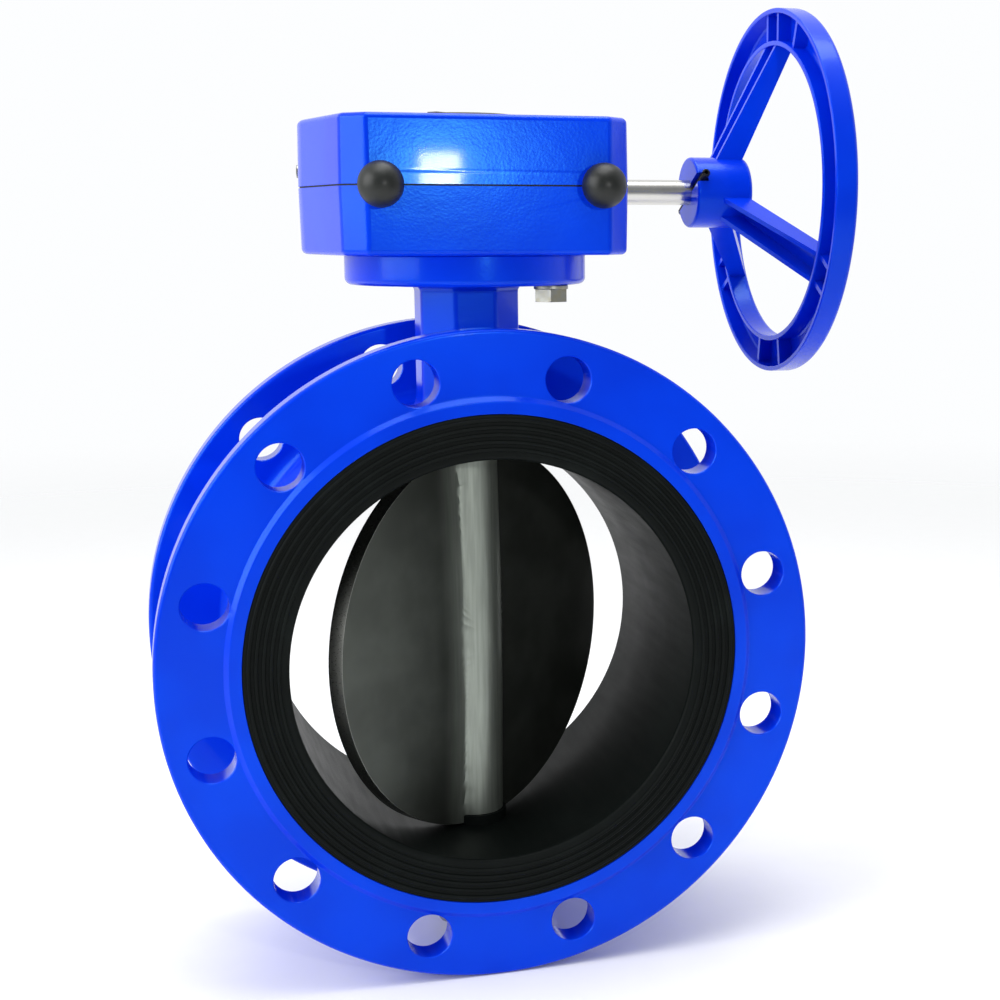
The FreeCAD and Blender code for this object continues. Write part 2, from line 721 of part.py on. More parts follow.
def worm_shaft():
    root_r = WORM_PITCH_R - 1.25 * GEAR_MODULE
    end_x = WHEEL_HUB_X + WHEEL_HUB_L + SHAFT_OVERHANG
    left_end = BEARING_LEFT - 2
    shaft = cylinder(WORM_SHAFT_R, end_x - left_end, at_worm(left_end), X_AXIS)
    shaft = shaft.makeChamfer(1.2, [e for e in shaft.Edges if e.BoundBox.XLength < 1e-6])
    shoulder_l = BEARING_RIGHT - (BEARING_LEFT + BEARING_W)
    shoulder = cylinder(WORM_SHOULDER_R, shoulder_l, at_worm(BEARING_LEFT + BEARING_W), X_AXIS)
    half = WORM_THREAD_L / 2
    core = cylinder(root_r, WORM_THREAD_L, at_worm(-half), X_AXIS)
    solid = fuse(shaft, shoulder, core).fuse(worm_thread())
    groove_x = WHEEL_HUB_X + WHEEL_HUB_L
    groove = tube(WORM_SHAFT_R + 1, WORM_SHAFT_R - 0.8, CIRCLIP_T, at_worm(groove_x + SLIP_GAP), X_AXIS)
    return solid.cut([groove, wheel_pin(SLIP_GAP)])


def bearing_places():
    return (BEARING_LEFT, BEARING_RIGHT)


def ball_circle_r():
    return (BEARING_R + WORM_SHAFT_R) / 2


def ball_groove(x):
    return Part.makeTorus(ball_circle_r(), BALL_R + RUNNING_GAP, at_worm(x + BEARING_W / 2), X_AXIS)


def bearing_ring(inner, outer, x):
    ring = tube(outer, inner, BEARING_W, at_worm(x), X_AXIS)
    return ring.cut(ball_groove(x))


def bearing_outer_rings():
    inner = ball_circle_r() + BALL_R * 0.55
    return Part.makeCompound([bearing_ring(inner, BEARING_R, x) for x in bearing_places()])


def bearing_inner_rings():
    outer = ball_circle_r() - BALL_R * 0.55
    return Part.makeCompound([bearing_ring(WORM_SHAFT_R + THREAD_GAP, outer, x) for x in bearing_places()])


def bearing_balls():
    balls = []
    for x in bearing_places():
        for i in range(BALL_COUNT):
            y, z = polar(ball_circle_r(), 360.0 * i / BALL_COUNT)
            balls.append(Part.makeSphere(BALL_R, at_worm(x + BEARING_W / 2, y, z)))
    return Part.makeCompound(balls)


def shaft_seal():
    """A lip seal: a ring with a groove in its outer side and a lip on the shaft."""
    ring = tube(SEAL_R, WORM_SHAFT_R + RUNNING_GAP, SEAL_W, at_worm(SEAL_LEFT), X_AXIS)
    groove = tube(SEAL_R - 2, WORM_SHAFT_R + 2, SEAL_W - 2.5, at_worm(SEAL_LEFT + 2.5), X_AXIS)
    return ring.cut(groove)


def end_screw_places():
    return [polar(END_SCREW_CIRCLE_R, 30 + 120 * i) for i in range(3)]


def worm_end_cover():
    plate = cylinder(END_COVER_R, END_COVER_T, at_worm(TUNNEL_LEFT - END_COVER_T), X_AXIS)
    outer_x = TUNNEL_LEFT - END_COVER_T
    plate = plate.makeFillet(1.5, [e for e in plate.Edges if e.BoundBox.XMax < outer_x + 1e-6])
    spigot_l = BEARING_LEFT - TUNNEL_LEFT - SLIP_GAP
    spigot = tube(BEARING_R - SLIP_GAP, BEARING_R - 5, spigot_l, at_worm(TUNNEL_LEFT), X_AXIS)
    holes = [cylinder(END_SCREW_R + HEAD_GAP, END_COVER_T + 1, at_worm(outer_x, y, z), X_AXIS)
             for y, z in end_screw_places()]
    return fuse(plate, spigot).cut(holes)


def end_cover_screws():
    head_h = END_SCREW_R * 1.6
    head_x = TUNNEL_LEFT - END_COVER_T - head_h
    head_r = END_SCREW_R * 1.7
    reach = END_COVER_T + 8
    screws = [socket_screw(head_r, head_h, END_SCREW_R, reach, at_worm(head_x, y, z), X_AXIS)
              for y, z in end_screw_places()]
    return Part.makeCompound(screws)


# ---------------------------------------------------------------- gearbox housing

def housing_corners():
    """Corners of the housing in plan (x, y from the stem, radius): it widens to the handwheel side."""
    return [
        (FRONT_HALF_W, -FRONT_REACH, 6.0), (CORNER_HALF_W, -CORNER_REACH, 8.0),
        (RIGHT_W, RIGHT_REACH, 10.0), (RIGHT_BACK_W, BACK_REACH, 12.0),
        (-BACK_LEFT_W, BACK_REACH, 14.0), (-LEFT_BACK_W, LEFT_BACK_REACH, 20.0),
        (-LEFT_W, LEFT_REACH, 60.0), (-CORNER_HALF_W, -CORNER_REACH, 8.0),
        (-FRONT_HALF_W, -FRONT_REACH, 6.0)]


def inset_corners(corners, inset):
    """Move every side of a convex outline inwards by the same distance."""
    moved = []
    count = len(corners)
    for i in range(count):
        here = Vec(corners[i][0], corners[i][1], 0)
        before = Vec(corners[i - 1][0], corners[i - 1][1], 0)
        after = Vec(corners[(i + 1) % count][0], corners[(i + 1) % count][1], 0)
        along_in = (here - before).normalize()
        along_out = (after - here).normalize()
        half = (math.pi - along_in.getAngle(along_out)) / 2
        inward = (along_out - along_in).normalize()
        point = here + inward * (inset / math.sin(half))
        moved.append((point.x, point.y, max(1.0, corners[i][2] - inset)))
    return moved


def housing_outline(inset, z):
    corners = inset_corners(housing_corners(), inset)
    return rounded_wire(corners, lambda p: at_stem(z, p.x, p.y))


def drafted_half(inset, z_seam, z_end, draft):
    """A half housing block, widest at the seam and narrower at its far face."""
    wires = [housing_outline(inset, z_seam), housing_outline(inset + draft, z_end)]
    return Part.makeLoft(wires, True, True)


def housing_block():
    """The outer form of both halves, with the worm tunnel across the back."""
    draft = HOUSING_HALF_H * math.tan(math.radians(HOUSING_DRAFT_DEG))
    lower = drafted_half(0.0, SEAM_Z, MOUNT_FACE_Z, draft)
    lower = lower.makeFillet(HOUSING_EDGE_R, edges_at_height(lower, MOUNT_FACE_Z))
    upper = drafted_half(0.0, SEAM_Z, TOP_Z, draft)
    upper = upper.makeFillet(HOUSING_EDGE_R, edges_at_height(upper, TOP_Z))
    return lower.fuse(upper)


def tunnel():
    return cylinder(TUNNEL_R, TUNNEL_RIGHT - TUNNEL_LEFT, at_worm(TUNNEL_LEFT), X_AXIS)


def housing_cavity():
    low = MOUNT_FACE_Z + HOUSING_FLOOR
    high = TOP_Z - HOUSING_FLOOR
    draft = (HOUSING_HALF_H - HOUSING_FLOOR) * math.tan(math.radians(HOUSING_DRAFT_DEG))
    lower = drafted_half(HOUSING_WALL, SEAM_Z, low, draft)
    upper = drafted_half(HOUSING_WALL, SEAM_Z, high, draft)
    return lower.fuse(upper)


def cover_screw_places():
    reach = COVER_SCREW_BOSS_R + 3
    front = (FRONT_HALF_W * 0.54, -FRONT_REACH + reach)
    right_mid = (CORNER_HALF_W + reach - 2, -LEFT_REACH)
    right_back = (RIGHT_W - reach - 4, RIGHT_REACH - reach)
    left_mid = (-CORNER_HALF_W - 1, -LEFT_REACH)
    left_back = (-LEFT_BACK_W + reach - 2, LEFT_BACK_REACH - reach + 4)
    return [front, (-front[0], front[1]), right_mid, right_back, left_mid, left_back]


def housing_bosses():
    """Solid columns and rings inside the housing that carry screws and bearings."""
    height = 2 * HOUSING_HALF_H - 2
    columns = [cylinder(COVER_SCREW_BOSS_R, height, at_stem(MOUNT_FACE_Z + 1, x, y))
               for x, y in cover_screw_places()]
    bolt_bosses = [cylinder(2 * M12_R, MOUNT_BOLT_REACH + 6, at_stem(MOUNT_FACE_Z, x, y))
                   for x, y in mount_positions()]
    ring_r = HUB_JOURNAL_R + HUB_BUSH_T + 7
    rings = [cylinder(ring_r, HUB_BUSH_L, at_stem(z)) for z in (MOUNT_FACE_Z, TOP_Z - HUB_BUSH_L)]
    stops = [cylinder(STOP_BOSS_R, STOP_BOSS_L, Vec(x, FRONT_FACE_Y + 1, SEAM_Z), Y_AXIS)
             for x in (STOP_X, -STOP_X)]
    pads = [cylinder(STOP_PAD_R, 4 + STOP_PAD_H, Vec(x, FRONT_FACE_Y - STOP_PAD_H, SEAM_Z), Y_AXIS)
            for x in (STOP_X, -STOP_X)]
    return columns + bolt_bosses + rings + stops + pads


def worm_passages():
    """The worm chamber, the bearing seats and the seal seat, cut along the worm axis."""
    chamber_l = CHAMBER_RIGHT - CHAMBER_LEFT
    chamber = cylinder(CHAMBER_R, chamber_l, at_worm(CHAMBER_LEFT), X_AXIS)
    gate = box(CHAMBER_LEFT, CHAMBER_RIGHT, STEM_Y + 40, WORM_Y, SEAM_Z - CHAMBER_R, SEAM_Z + CHAMBER_R)
    left_seat = cylinder(BEARING_R, CHAMBER_LEFT - TUNNEL_LEFT + 1, at_worm(TUNNEL_LEFT), X_AXIS)
    right_l = BEARING_RIGHT + BEARING_W - CHAMBER_RIGHT + 1
    right_seat = cylinder(BEARING_R, right_l, at_worm(CHAMBER_RIGHT - 1), X_AXIS)
    seal_seat = cylinder(SEAL_R, SEAL_LEFT + SEAL_W - BEARING_RIGHT, at_worm(BEARING_RIGHT), X_AXIS)
    way_out = cylinder(WORM_SHAFT_R + 1.5, TUNNEL_RIGHT - SEAL_LEFT + 1, at_worm(SEAL_LEFT), X_AXIS)
    screw_holes = [cylinder(END_SCREW_R + THREAD_GAP, 12, at_worm(TUNNEL_LEFT, y, z), X_AXIS)
                   for y, z in end_screw_places()]
    cover_room = cylinder(END_COVER_R + 1, 60, at_worm(TUNNEL_LEFT - 60), X_AXIS)
    return [chamber, gate, left_seat, right_seat, seal_seat, way_out, cover_room] + screw_holes


def housing_bores():
    """Holes along the stem, for the cover screws, the mounting bolts and the stop screws."""
    hub = cylinder(HUB_JOURNAL_R + HUB_BUSH_T, 2 * HOUSING_HALF_H + 2 * SPIGOT_H,
                   at_stem(MOUNT_FACE_Z))
    stem = cylinder(STEM_R + 2, 3 * SPIGOT_H, at_stem(MOUNT_FACE_Z - 2 * SPIGOT_H))
    bolt = [cylinder(M12_R + THREAD_GAP, MOUNT_BOLT_REACH + 2, at_stem(MOUNT_FACE_Z - 1, x, y))
            for x, y in mount_positions()]
    shank_low = SEAM_Z - COVER_SCREW_REACH - 2
    shank_l = TOP_Z - shank_low
    shanks = [cylinder(M8_R + THREAD_GAP, shank_l, at_stem(shank_low, x, y)) for x, y in cover_screw_places()]
    heads = [cylinder(M8_HEAD_R + HEAD_GAP, M8_HEAD_H + 1, at_stem(TOP_Z - M8_HEAD_H, x, y))
             for x, y in cover_screw_places()]
    stops = [cylinder(STOP_SCREW_R + THREAD_GAP, 60, Vec(x, FRONT_FACE_Y - 10, SEAM_Z), Y_AXIS)
             for x in (STOP_X, -STOP_X)]
    return [hub, stem] + bolt + shanks + heads + stops


def whole_housing():
    shell = housing_block().cut(housing_cavity())
    shell = shell.multiFuse(housing_bosses() + [tunnel()])
    return shell.cut(worm_passages() + housing_bores())


def housing_slab(z0, z1):
    return box(-300, 300, STEM_Y - 300, STEM_Y + 300, z0, z1)


def gearbox_lower_housing(housing):
    lower = housing.common(housing_slab(MOUNT_FACE_Z - 20, SEAM_Z - GASKET_T / 2))
    spigot = tube(SPIGOT_R, STEM_R + 2, SPIGOT_H + 2, at_stem(MOUNT_FACE_Z - SPIGOT_H))
    seat = tube(SPIGOT_R, HUB_JOURNAL_R + HUB_BUSH_T, 4, at_stem(MOUNT_FACE_Z))
    hub_room = cylinder(HUB_JOURNAL_R + HUB_BUSH_T, 4, at_stem(MOUNT_FACE_Z - SLIP_GAP))
    return fuse(lower, spigot.cut(hub_room), seat)


def gearbox_cover(housing):
    return housing.common(housing_slab(SEAM_Z + GASKET_T / 2, TOP_Z + 20))


def gearbox_gasket(housing):
    slice_z = SEAM_Z - GASKET_T / 2
    layer = housing.common(housing_slab(slice_z, slice_z + GASKET_T))
    main = Part.Face(housing_outline(GASKET_INSET, slice_z - 1)).extrude(Vec(0, 0, 4))
    over_tunnel = box(TUNNEL_LEFT + GASKET_INSET, TUNNEL_RIGHT - GASKET_INSET, STEM_Y,
                      WORM_Y + TUNNEL_R - GASKET_INSET, slice_z - 1, slice_z + 3)
    gasket = layer.common(main.fuse(over_tunnel))
    whole = [solid for solid in gasket.Solids if solid.Volume > 0.05 * gasket.Volume]
    return Part.makeCompound(whole)


def cover_screws():
    shank_l = HOUSING_HALF_H - M8_HEAD_H + COVER_SCREW_REACH
    screws = [socket_screw(M8_HEAD_R, M8_HEAD_H, M8_R, shank_l, at_stem(TOP_Z, x, y), -Z_AXIS)
              for x, y in cover_screw_places()]
    return Part.makeCompound(screws)


# ---------------------------------------------------------------- mounting bolts

def mount_hex_bolt():
    x, y = hex_bolt_position()
    under = MOUNT_UNDER_Z - WASHER_T
    head = hexagon(M12_FLATS, M12_HEAD_H, at_stem(under, x, y), -Z_AXIS, 1.0, HEX_BOLT_TURN)
    shank = cylinder(M12_R, WASHER_T + MOUNT_FLANGE_T + MOUNT_BOLT_REACH, at_stem(under, x, y))
    return head.fuse(shank)


def mount_bolt_washer():
    x, y = hex_bolt_position()
    return tube(WASHER_R, M12_R + HEAD_GAP, WASHER_T, at_stem(MOUNT_UNDER_Z - WASHER_T, x, y))


def mount_socket_screws():
    shank_l = MOUNT_FLANGE_T - M12_CAP_HEAD_H - HEAD_GAP + MOUNT_BOLT_REACH
    head_top = MOUNT_UNDER_Z + HEAD_GAP
    screws = [socket_screw(M12_CAP_HEAD_R, M12_CAP_HEAD_H, M12_R, shank_l, at_stem(head_top, x, y), Z_AXIS)
              for x, y in socket_screw_positions()]
    return Part.makeCompound(screws)


# ---------------------------------------------------------------- stop screws and caps

def stop_sides():
    return (STOP_X, -STOP_X)


def stop_pad_y():
    return FRONT_FACE_Y - STOP_PAD_H


def stop_screws():
    """Two screws whose tips the quadrant's flat ends meet at closed and at fully open."""
    tail_y = stop_pad_y() - STOP_TAIL
    tip_y = STEM_Y - STOP_FACE_OFFSET - STOP_TIP_GAP

    def one(x):
        shaft = cylinder(STOP_SCREW_R, tip_y - tail_y, Vec(x, tail_y, SEAM_Z), Y_AXIS)
        shaft = shaft.makeChamfer(1.2, [e for e in shaft.Edges if e.BoundBox.YLength < 1e-6])
        return shaft.cut(hexagon(STOP_SCREW_R, STOP_SCREW_R, Vec(x, tail_y, SEAM_Z), Y_AXIS, 0.0))

    return Part.makeCompound([one(x) for x in stop_sides()])


def stop_lock_nuts():
    def one(x):
        nut = hexagon(STOP_NUT_FLATS, STOP_NUT_H, Vec(x, stop_pad_y(), SEAM_Z), -Y_AXIS)
        hole_start = Vec(x, stop_pad_y() - 2 * STOP_NUT_H, SEAM_Z)
        return nut.cut(cylinder(STOP_SCREW_R + THREAD_GAP, 4 * STOP_NUT_H, hole_start, Y_AXIS))

    return Part.makeCompound([one(x) for x in stop_sides()])


def stop_screw_caps():
    """Hollow rubber balls pushed over the lock nuts."""
    def one(x):
        centre = Vec(x, FRONT_FACE_Y - CAP_STANDOFF, SEAM_Z)
        ball = Part.makeSphere(CAP_R, centre)
        behind = box(x - 2 * CAP_R, x + 2 * CAP_R, stop_pad_y(), stop_pad_y() + 2 * CAP_R,
                     SEAM_Z - 2 * CAP_R, SEAM_Z + 2 * CAP_R)
        nut_room_l = STOP_NUT_H + 1
        nut_room = cylinder(CAP_POCKET_R, nut_room_l, Vec(x, stop_pad_y() - nut_room_l, SEAM_Z), Y_AXIS)
        tail_room_l = STOP_TAIL + 1
        tail_start = Vec(x, stop_pad_y() - tail_room_l, SEAM_Z)
        tail_room = cylinder(STOP_SCREW_R + 1, tail_room_l, tail_start, Y_AXIS)
        return ball.cut([behind, nut_room, tail_room])

    return Part.makeCompound([one(x) for x in stop_sides()])


# ---------------------------------------------------------------- position indicator

def indicator_floor_z():
    return TOP_Z + HEAD_GAP


def indicator_screw_places():
    return [polar(INDICATOR_SCREW_R, 90 + 180 * i) for i in range(2)]


def position_indicator():
    """A dished disc with a raised pointer that lies across the pipe when the valve is closed."""
    z0 = indicator_floor_z()
    top = z0 + INDICATOR_T
    face = top - POINTER_H
    disc = revolved_about_stem([
        (0.0, z0, 0.0), (INDICATOR_R, z0, 0.0), (INDICATOR_R, face, 2.0), (0.0, face, 0.0)])
    length = INDICATOR_R - 5
    half = POINTER_W / 2
    arrow = length - 9
    barb = half + 5
    pointer_corners = square_corners(
        (-length, -half), (arrow, -half), (arrow, -barb), (length, 0.0), (arrow, barb), (arrow, half),
        (-length, half))
    pointer = prism(pointer_corners, lambda p: at_stem(face - 1, p.x, p.y), Vec(0, 0, POINTER_H + 1))
    plug = cylinder(STEM_R - 0.5, STEM_R / 4, at_stem(z0 - STEM_R / 4))
    cuts = []
    for x, y in indicator_screw_places():
        cuts.append(cylinder(M5_R + THREAD_GAP, INDICATOR_T + 2, at_stem(z0 - 1, x, y)))
        head_depth = M5_HEAD_H + 2 * POINTER_H
        cuts.append(cylinder(M5_HEAD_R + HEAD_GAP, head_depth, at_stem(face - M5_HEAD_H, x, y)))
    return at_rest(fuse(disc, pointer, plug).cut(cuts))


def indicator_screws():
    head_top = indicator_floor_z() + INDICATOR_T - POINTER_H
    reach = INDICATOR_T - POINTER_H - M5_HEAD_H + 8
    screws = [socket_screw(M5_HEAD_R, M5_HEAD_H, M5_R - THREAD_GAP, reach, at_stem(head_top, x, y), -Z_AXIS)
              for x, y in indicator_screw_places()]
    return at_rest(Part.makeCompound(screws))


# ---------------------------------------------------------------- handwheel

def wheel_turn(shape, degrees):
    """Turn a handwheel piece made at the top of the wheel, towards the inlet side."""
    return turned(shape, degrees, WORM_AXIS_POINT, X_AXIS)


def wheel_rim():
    """A channel ring, open towards the gearbox."""
    inner = WHEEL_R - RIM_W
    back = RIM_X + RIM_DEPTH
    floor = back - RIM_FLOOR
    corners = [
        (inner, RIM_X, 0.8), (inner + RIM_WALL, RIM_X, 0.8), (inner + RIM_WALL, floor, 1.5),
        (WHEEL_R - RIM_WALL, floor, 1.5), (WHEEL_R - RIM_WALL, RIM_X, 0.8), (WHEEL_R, RIM_X, 0.8),
        (WHEEL_R, back, 3.0), (inner, back, 3.0)]
    return revolved_about_worm(corners)


def spoke_side(start_r, end_r, sink):
    """Side view of a spoke in (radius, x); sink lowers its open side for the pocket."""
    slope = (RIM_X + 1 - SPOKE_HUB_X) / (WHEEL_R - RIM_W - WHEEL_HUB_R)
    near_start = SPOKE_HUB_X + slope * (start_r - WHEEL_HUB_R)
    near_end = SPOKE_HUB_X + slope * (end_r - WHEEL_HUB_R)
    far_start = near_start + SPOKE_HUB_DEPTH
    far_end = near_end + SPOKE_RIM_DEPTH
    if sink > 0:
        return square_corners((start_r, near_start - 20), (end_r, near_end - 20), (end_r, far_end - sink),
                              (start_r, far_start - sink))
    return square_corners((start_r, near_start), (end_r, near_end), (end_r, far_end), (start_r, far_start))


def spoke_prism(start_r, end_r, sink, side_wall):
    side = prism(spoke_side(start_r, end_r, sink), lambda p: at_worm(p.y, -30, p.x), Vec(0, 60, 0))
    hub_half = SPOKE_HUB_W / 2 - side_wall
    rim_half = SPOKE_RIM_W / 2 - side_wall
    plan = square_corners((start_r, -hub_half), (end_r, -rim_half), (end_r, rim_half), (start_r, hub_half))
    flat = prism(plan, lambda p: at_worm(0, p.y, p.x), Vec(2 * RIM_X, 0, 0))
    return side.common(flat)


def wheel_spoke():
    """A channel spoke pointing up, from inside the hub to inside the rim's inner wall."""
    hub_r = WHEEL_HUB_R - 4
    rim_r = WHEEL_R - RIM_W + RIM_WALL / 2
    outer = spoke_prism(hub_r, rim_r, 0.0, 0.0)
    pocket = spoke_prism(hub_r, rim_r + 1, SPOKE_WALL, SPOKE_WALL)
    return outer.cut(pocket)


def rim_ribs():
    """Pairs of thin ribs across the rim's channel, in line with each spoke's two walls."""
    inner = WHEEL_R - RIM_W + RIM_WALL / 2
    low = RIM_X + 2.5
    depth = RIM_DEPTH - RIM_FLOOR / 2 - 2.5
    ribs = []
    for i in range(SPOKE_COUNT):
        for side in (-1, 1):
            y = side * (SPOKE_RIM_W - SPOKE_WALL) / 2
            rib = box(low, low + depth, WORM_Y + y - SPOKE_WALL / 2, WORM_Y + y + SPOKE_WALL / 2,
                      SEAM_Z + inner, SEAM_Z + WHEEL_R - RIM_WALL / 2)
            ribs.append(wheel_turn(rib, 360.0 * i / SPOKE_COUNT))
    for degrees in RIM_RIB_DEGS:
        rib = box(low, low + depth, WORM_Y - SPOKE_WALL / 2, WORM_Y + SPOKE_WALL / 2,
                  SEAM_Z + inner, SEAM_Z + WHEEL_R - RIM_WALL / 2)
        ribs.append(wheel_turn(rib, degrees))
    return ribs


def wheel_hub():
    end = WHEEL_HUB_X + WHEEL_HUB_L
    return revolved_about_worm([
        (0.0, WHEEL_HUB_X, 0.0), (WHEEL_HUB_R, WHEEL_HUB_X, 1.5), (WHEEL_HUB_R, end, 2.5), (0.0, end, 0.0)])


def pin_slot():
    """The slot across the hub's gearbox end that the roll pin drives."""
    half = WHEEL_PIN_R + 0.4
    slot = box(WHEEL_HUB_X - 1, WHEEL_HUB_X + WHEEL_PIN_INSET + half, WORM_Y - half, WORM_Y + half,
               SEAM_Z - 2 * WHEEL_HUB_R, SEAM_Z + 2 * WHEEL_HUB_R)
    return wheel_turn(slot, WHEEL_PIN_DEG)


def wheel_pin(gap=0.0):
    half = WHEEL_PIN_L / 2
    pin = cylinder(WHEEL_PIN_R + gap, WHEEL_PIN_L, at_worm(WHEEL_HUB_X + WHEEL_PIN_INSET, 0, -half))
    return wheel_turn(pin, WHEEL_PIN_DEG)


def handwheel():
    spokes = [wheel_turn(wheel_spoke(), 360.0 * i / SPOKE_COUNT) for i in range(SPOKE_COUNT)]
    wheel = fuse(wheel_hub(), wheel_rim(), *(spokes + rim_ribs()))
    bore = cylinder(WORM_SHAFT_R + THREAD_GAP, WHEEL_HUB_L + 2, at_worm(WHEEL_HUB_X - 1), X_AXIS)
    return wheel.cut([bore, pin_slot()])


def handwheel_pin():
    """A rolled spring pin: a thin tube with a slit along it."""
    pin = wheel_pin()
    half = WHEEL_PIN_L / 2 + 1
    centre_x = WHEEL_HUB_X + WHEEL_PIN_INSET
    core = cylinder(WHEEL_PIN_R * 0.5, 2 * half, at_worm(centre_x, 0, -half))
    slit = box(centre_x - WHEEL_PIN_R - 1, centre_x, WORM_Y - 0.4, WORM_Y + 0.4, SEAM_Z - half, SEAM_Z + half)
    return pin.cut(wheel_turn(core.fuse(slit), WHEEL_PIN_DEG))


def handwheel_circlip():
    x = WHEEL_HUB_X + WHEEL_HUB_L + SLIP_GAP
    ring = tube(WORM_SHAFT_R + 4, WORM_SHAFT_R - 0.7, CIRCLIP_T - 0.1, at_worm(x), X_AXIS)
    gap = box(x - 1, x + CIRCLIP_T + 1, WORM_Y - 2.5, WORM_Y + 2.5, SEAM_Z - WORM_SHAFT_R - 5, SEAM_Z)
    return ring.cut(gap)


# ---------------------------------------------------------------- export

def main():
    os.makedirs("parts", exist_ok=True)
    housing = whole_housing()
    pieces = {
        "valve_body": valve_body(),
        "rubber_liner": rubber_liner(),
        "valve_disc": valve_disc(),
        "upper_stem": upper_stem(),
        "lower_stem": lower_stem(),
        "upper_stem_bush": upper_stem_bush(),
        "lower_stem_bush": lower_stem_bush(),
        "stem_o_rings": stem_o_rings(),
        "thrust_washer": thrust_washer(),
        "stem_circlip": stem_circlip(),
        "bottom_plug": bottom_plug(),
        "bottom_plug_gasket": bottom_plug_gasket(),
        "gearbox_lower_housing": gearbox_lower_housing(housing),
        "gearbox_gasket": gearbox_gasket(housing),
        "gearbox_cover": gearbox_cover(housing),
        "cover_screws": cover_screws(),
        "mount_hex_bolt": mount_hex_bolt(),
        "mount_bolt_washer": mount_bolt_washer(),
        "mount_socket_screws": mount_socket_screws(),
        "quadrant_gear": quadrant_gear(),
        "quadrant_bushes": quadrant_bushes(),
        "stem_key": stem_key(),
        "position_indicator": position_indicator(),
        "indicator_screws": indicator_screws(),
        "worm_shaft": worm_shaft(),
        "bearing_outer_rings": bearing_outer_rings(),
        "bearing_inner_rings": bearing_inner_rings(),
        "bearing_balls": bearing_balls(),
        "shaft_seal": shaft_seal(),
        "worm_end_cover": worm_end_cover(),
        "end_cover_screws": end_cover_screws(),
        "stop_screws": stop_screws(),
        "stop_lock_nuts": stop_lock_nuts(),
        "stop_screw_caps": stop_screw_caps(),
        "handwheel": handwheel(),
        "handwheel_pin": handwheel_pin(),
        "handwheel_circlip": handwheel_circlip(),
    }
    for name, shape in pieces.items():
        shape.exportStep(f"parts/{name}.step")
        print(name, "valid", shape.isValid(), "solids", len(shape.Solids), "volume", round(shape.Volume))


main()
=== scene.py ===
"""Double-flanged butterfly valve with a worm gearbox and handwheel, dressed around its CAD frame.

Lengths are metres in the frame of the CAD model: the pipe runs along +Y, the stem along +Z and
the worm shaft along +X. Every finished piece sits at the origin with its place in its mesh.
"""

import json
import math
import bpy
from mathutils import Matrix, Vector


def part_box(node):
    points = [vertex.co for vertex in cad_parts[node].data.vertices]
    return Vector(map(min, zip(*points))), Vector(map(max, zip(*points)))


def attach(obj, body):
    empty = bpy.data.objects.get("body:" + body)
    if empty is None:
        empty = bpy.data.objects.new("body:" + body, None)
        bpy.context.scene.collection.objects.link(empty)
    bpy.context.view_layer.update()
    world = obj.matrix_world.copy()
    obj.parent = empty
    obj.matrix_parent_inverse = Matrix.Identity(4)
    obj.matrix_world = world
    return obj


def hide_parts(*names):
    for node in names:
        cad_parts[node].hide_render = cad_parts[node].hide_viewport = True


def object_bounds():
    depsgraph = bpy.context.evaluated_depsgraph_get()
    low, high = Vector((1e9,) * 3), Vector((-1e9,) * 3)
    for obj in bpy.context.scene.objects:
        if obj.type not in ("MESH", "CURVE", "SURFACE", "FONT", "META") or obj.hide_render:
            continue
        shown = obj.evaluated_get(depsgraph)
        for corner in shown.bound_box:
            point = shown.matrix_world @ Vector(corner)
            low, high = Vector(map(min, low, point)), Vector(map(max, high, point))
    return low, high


bl_info = {
    "name": "Butterfly Valve",
    "version": (1, 0, 0),
    "blender": (4, 5, 0),
    "location": "View3D > Sidebar > Valve",
    "description": "Builds a flanged butterfly valve with a worm gearbox and handwheel",
    "category": "Object",
}

import bmesh
import bpy
from bpy.props import FloatProperty, FloatVectorProperty, IntProperty, PointerProperty
from mathutils import Matrix, Vector

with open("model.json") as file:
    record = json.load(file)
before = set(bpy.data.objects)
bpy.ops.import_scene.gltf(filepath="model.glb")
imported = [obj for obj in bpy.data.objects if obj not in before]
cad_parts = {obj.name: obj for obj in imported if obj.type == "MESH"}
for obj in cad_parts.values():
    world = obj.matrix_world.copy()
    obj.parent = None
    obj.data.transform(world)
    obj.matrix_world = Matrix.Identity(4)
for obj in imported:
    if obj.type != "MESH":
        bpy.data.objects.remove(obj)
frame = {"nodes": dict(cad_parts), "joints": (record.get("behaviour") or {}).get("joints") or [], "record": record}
CAD_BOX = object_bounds()

MM = 0.001
X_AXIS = Vector((1, 0, 0))
Y_AXIS = Vector((0, 1, 0))
Z_AXIS = Vector((0, 0, 1))


# ---------------------------------------------------------------- places read from the frame

def low(node):
    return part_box(node)[0]


def high(node):
    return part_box(node)[1]


def joint_centre(name):
    joint = next(j for j in frame["joints"] if j["name"] == name)
    return Vector(joint["pos_m"])


FACE_TO_FACE = high("valve_body").y
STEM_CENTRE = joint_centre("stem_turn")
SHAFT_CENTRE = joint_centre("handwheel_turn")
MOUNT_FACE_Z = high("valve_body").z
SEAM_Z = SHAFT_CENTRE.z
SHAFT_LINE = Vector((0, SHAFT_CENTRE.y, SHAFT_CENTRE.z))

PLUG_THREAD_R = 20.02 * MM
SPIGOT_RECESS_R = 42.6 * MM
SPIGOT_RECESS_DEPTH = 3.1 * MM
MOUNT_HOLE_R = 6.75 * MM
COUNTERBORE_R = 9.3 * MM
COUNTERBORE_DEPTH = 12.3 * MM
CAP_POCKET_R = 9.6 * MM
CAP_POCKET_DEPTH = 7 * MM
WHEEL_BORE_R = 8.55 * MM
RIM_RIB_DEGS = (22, 170, 190)


# ---------------------------------------------------------------- sizes and colours a user may change

def length(label, millimetres, description):
    return FloatProperty(name=label, description=description, default=millimetres * MM,
                         unit="LENGTH", subtype="DISTANCE", precision=5)


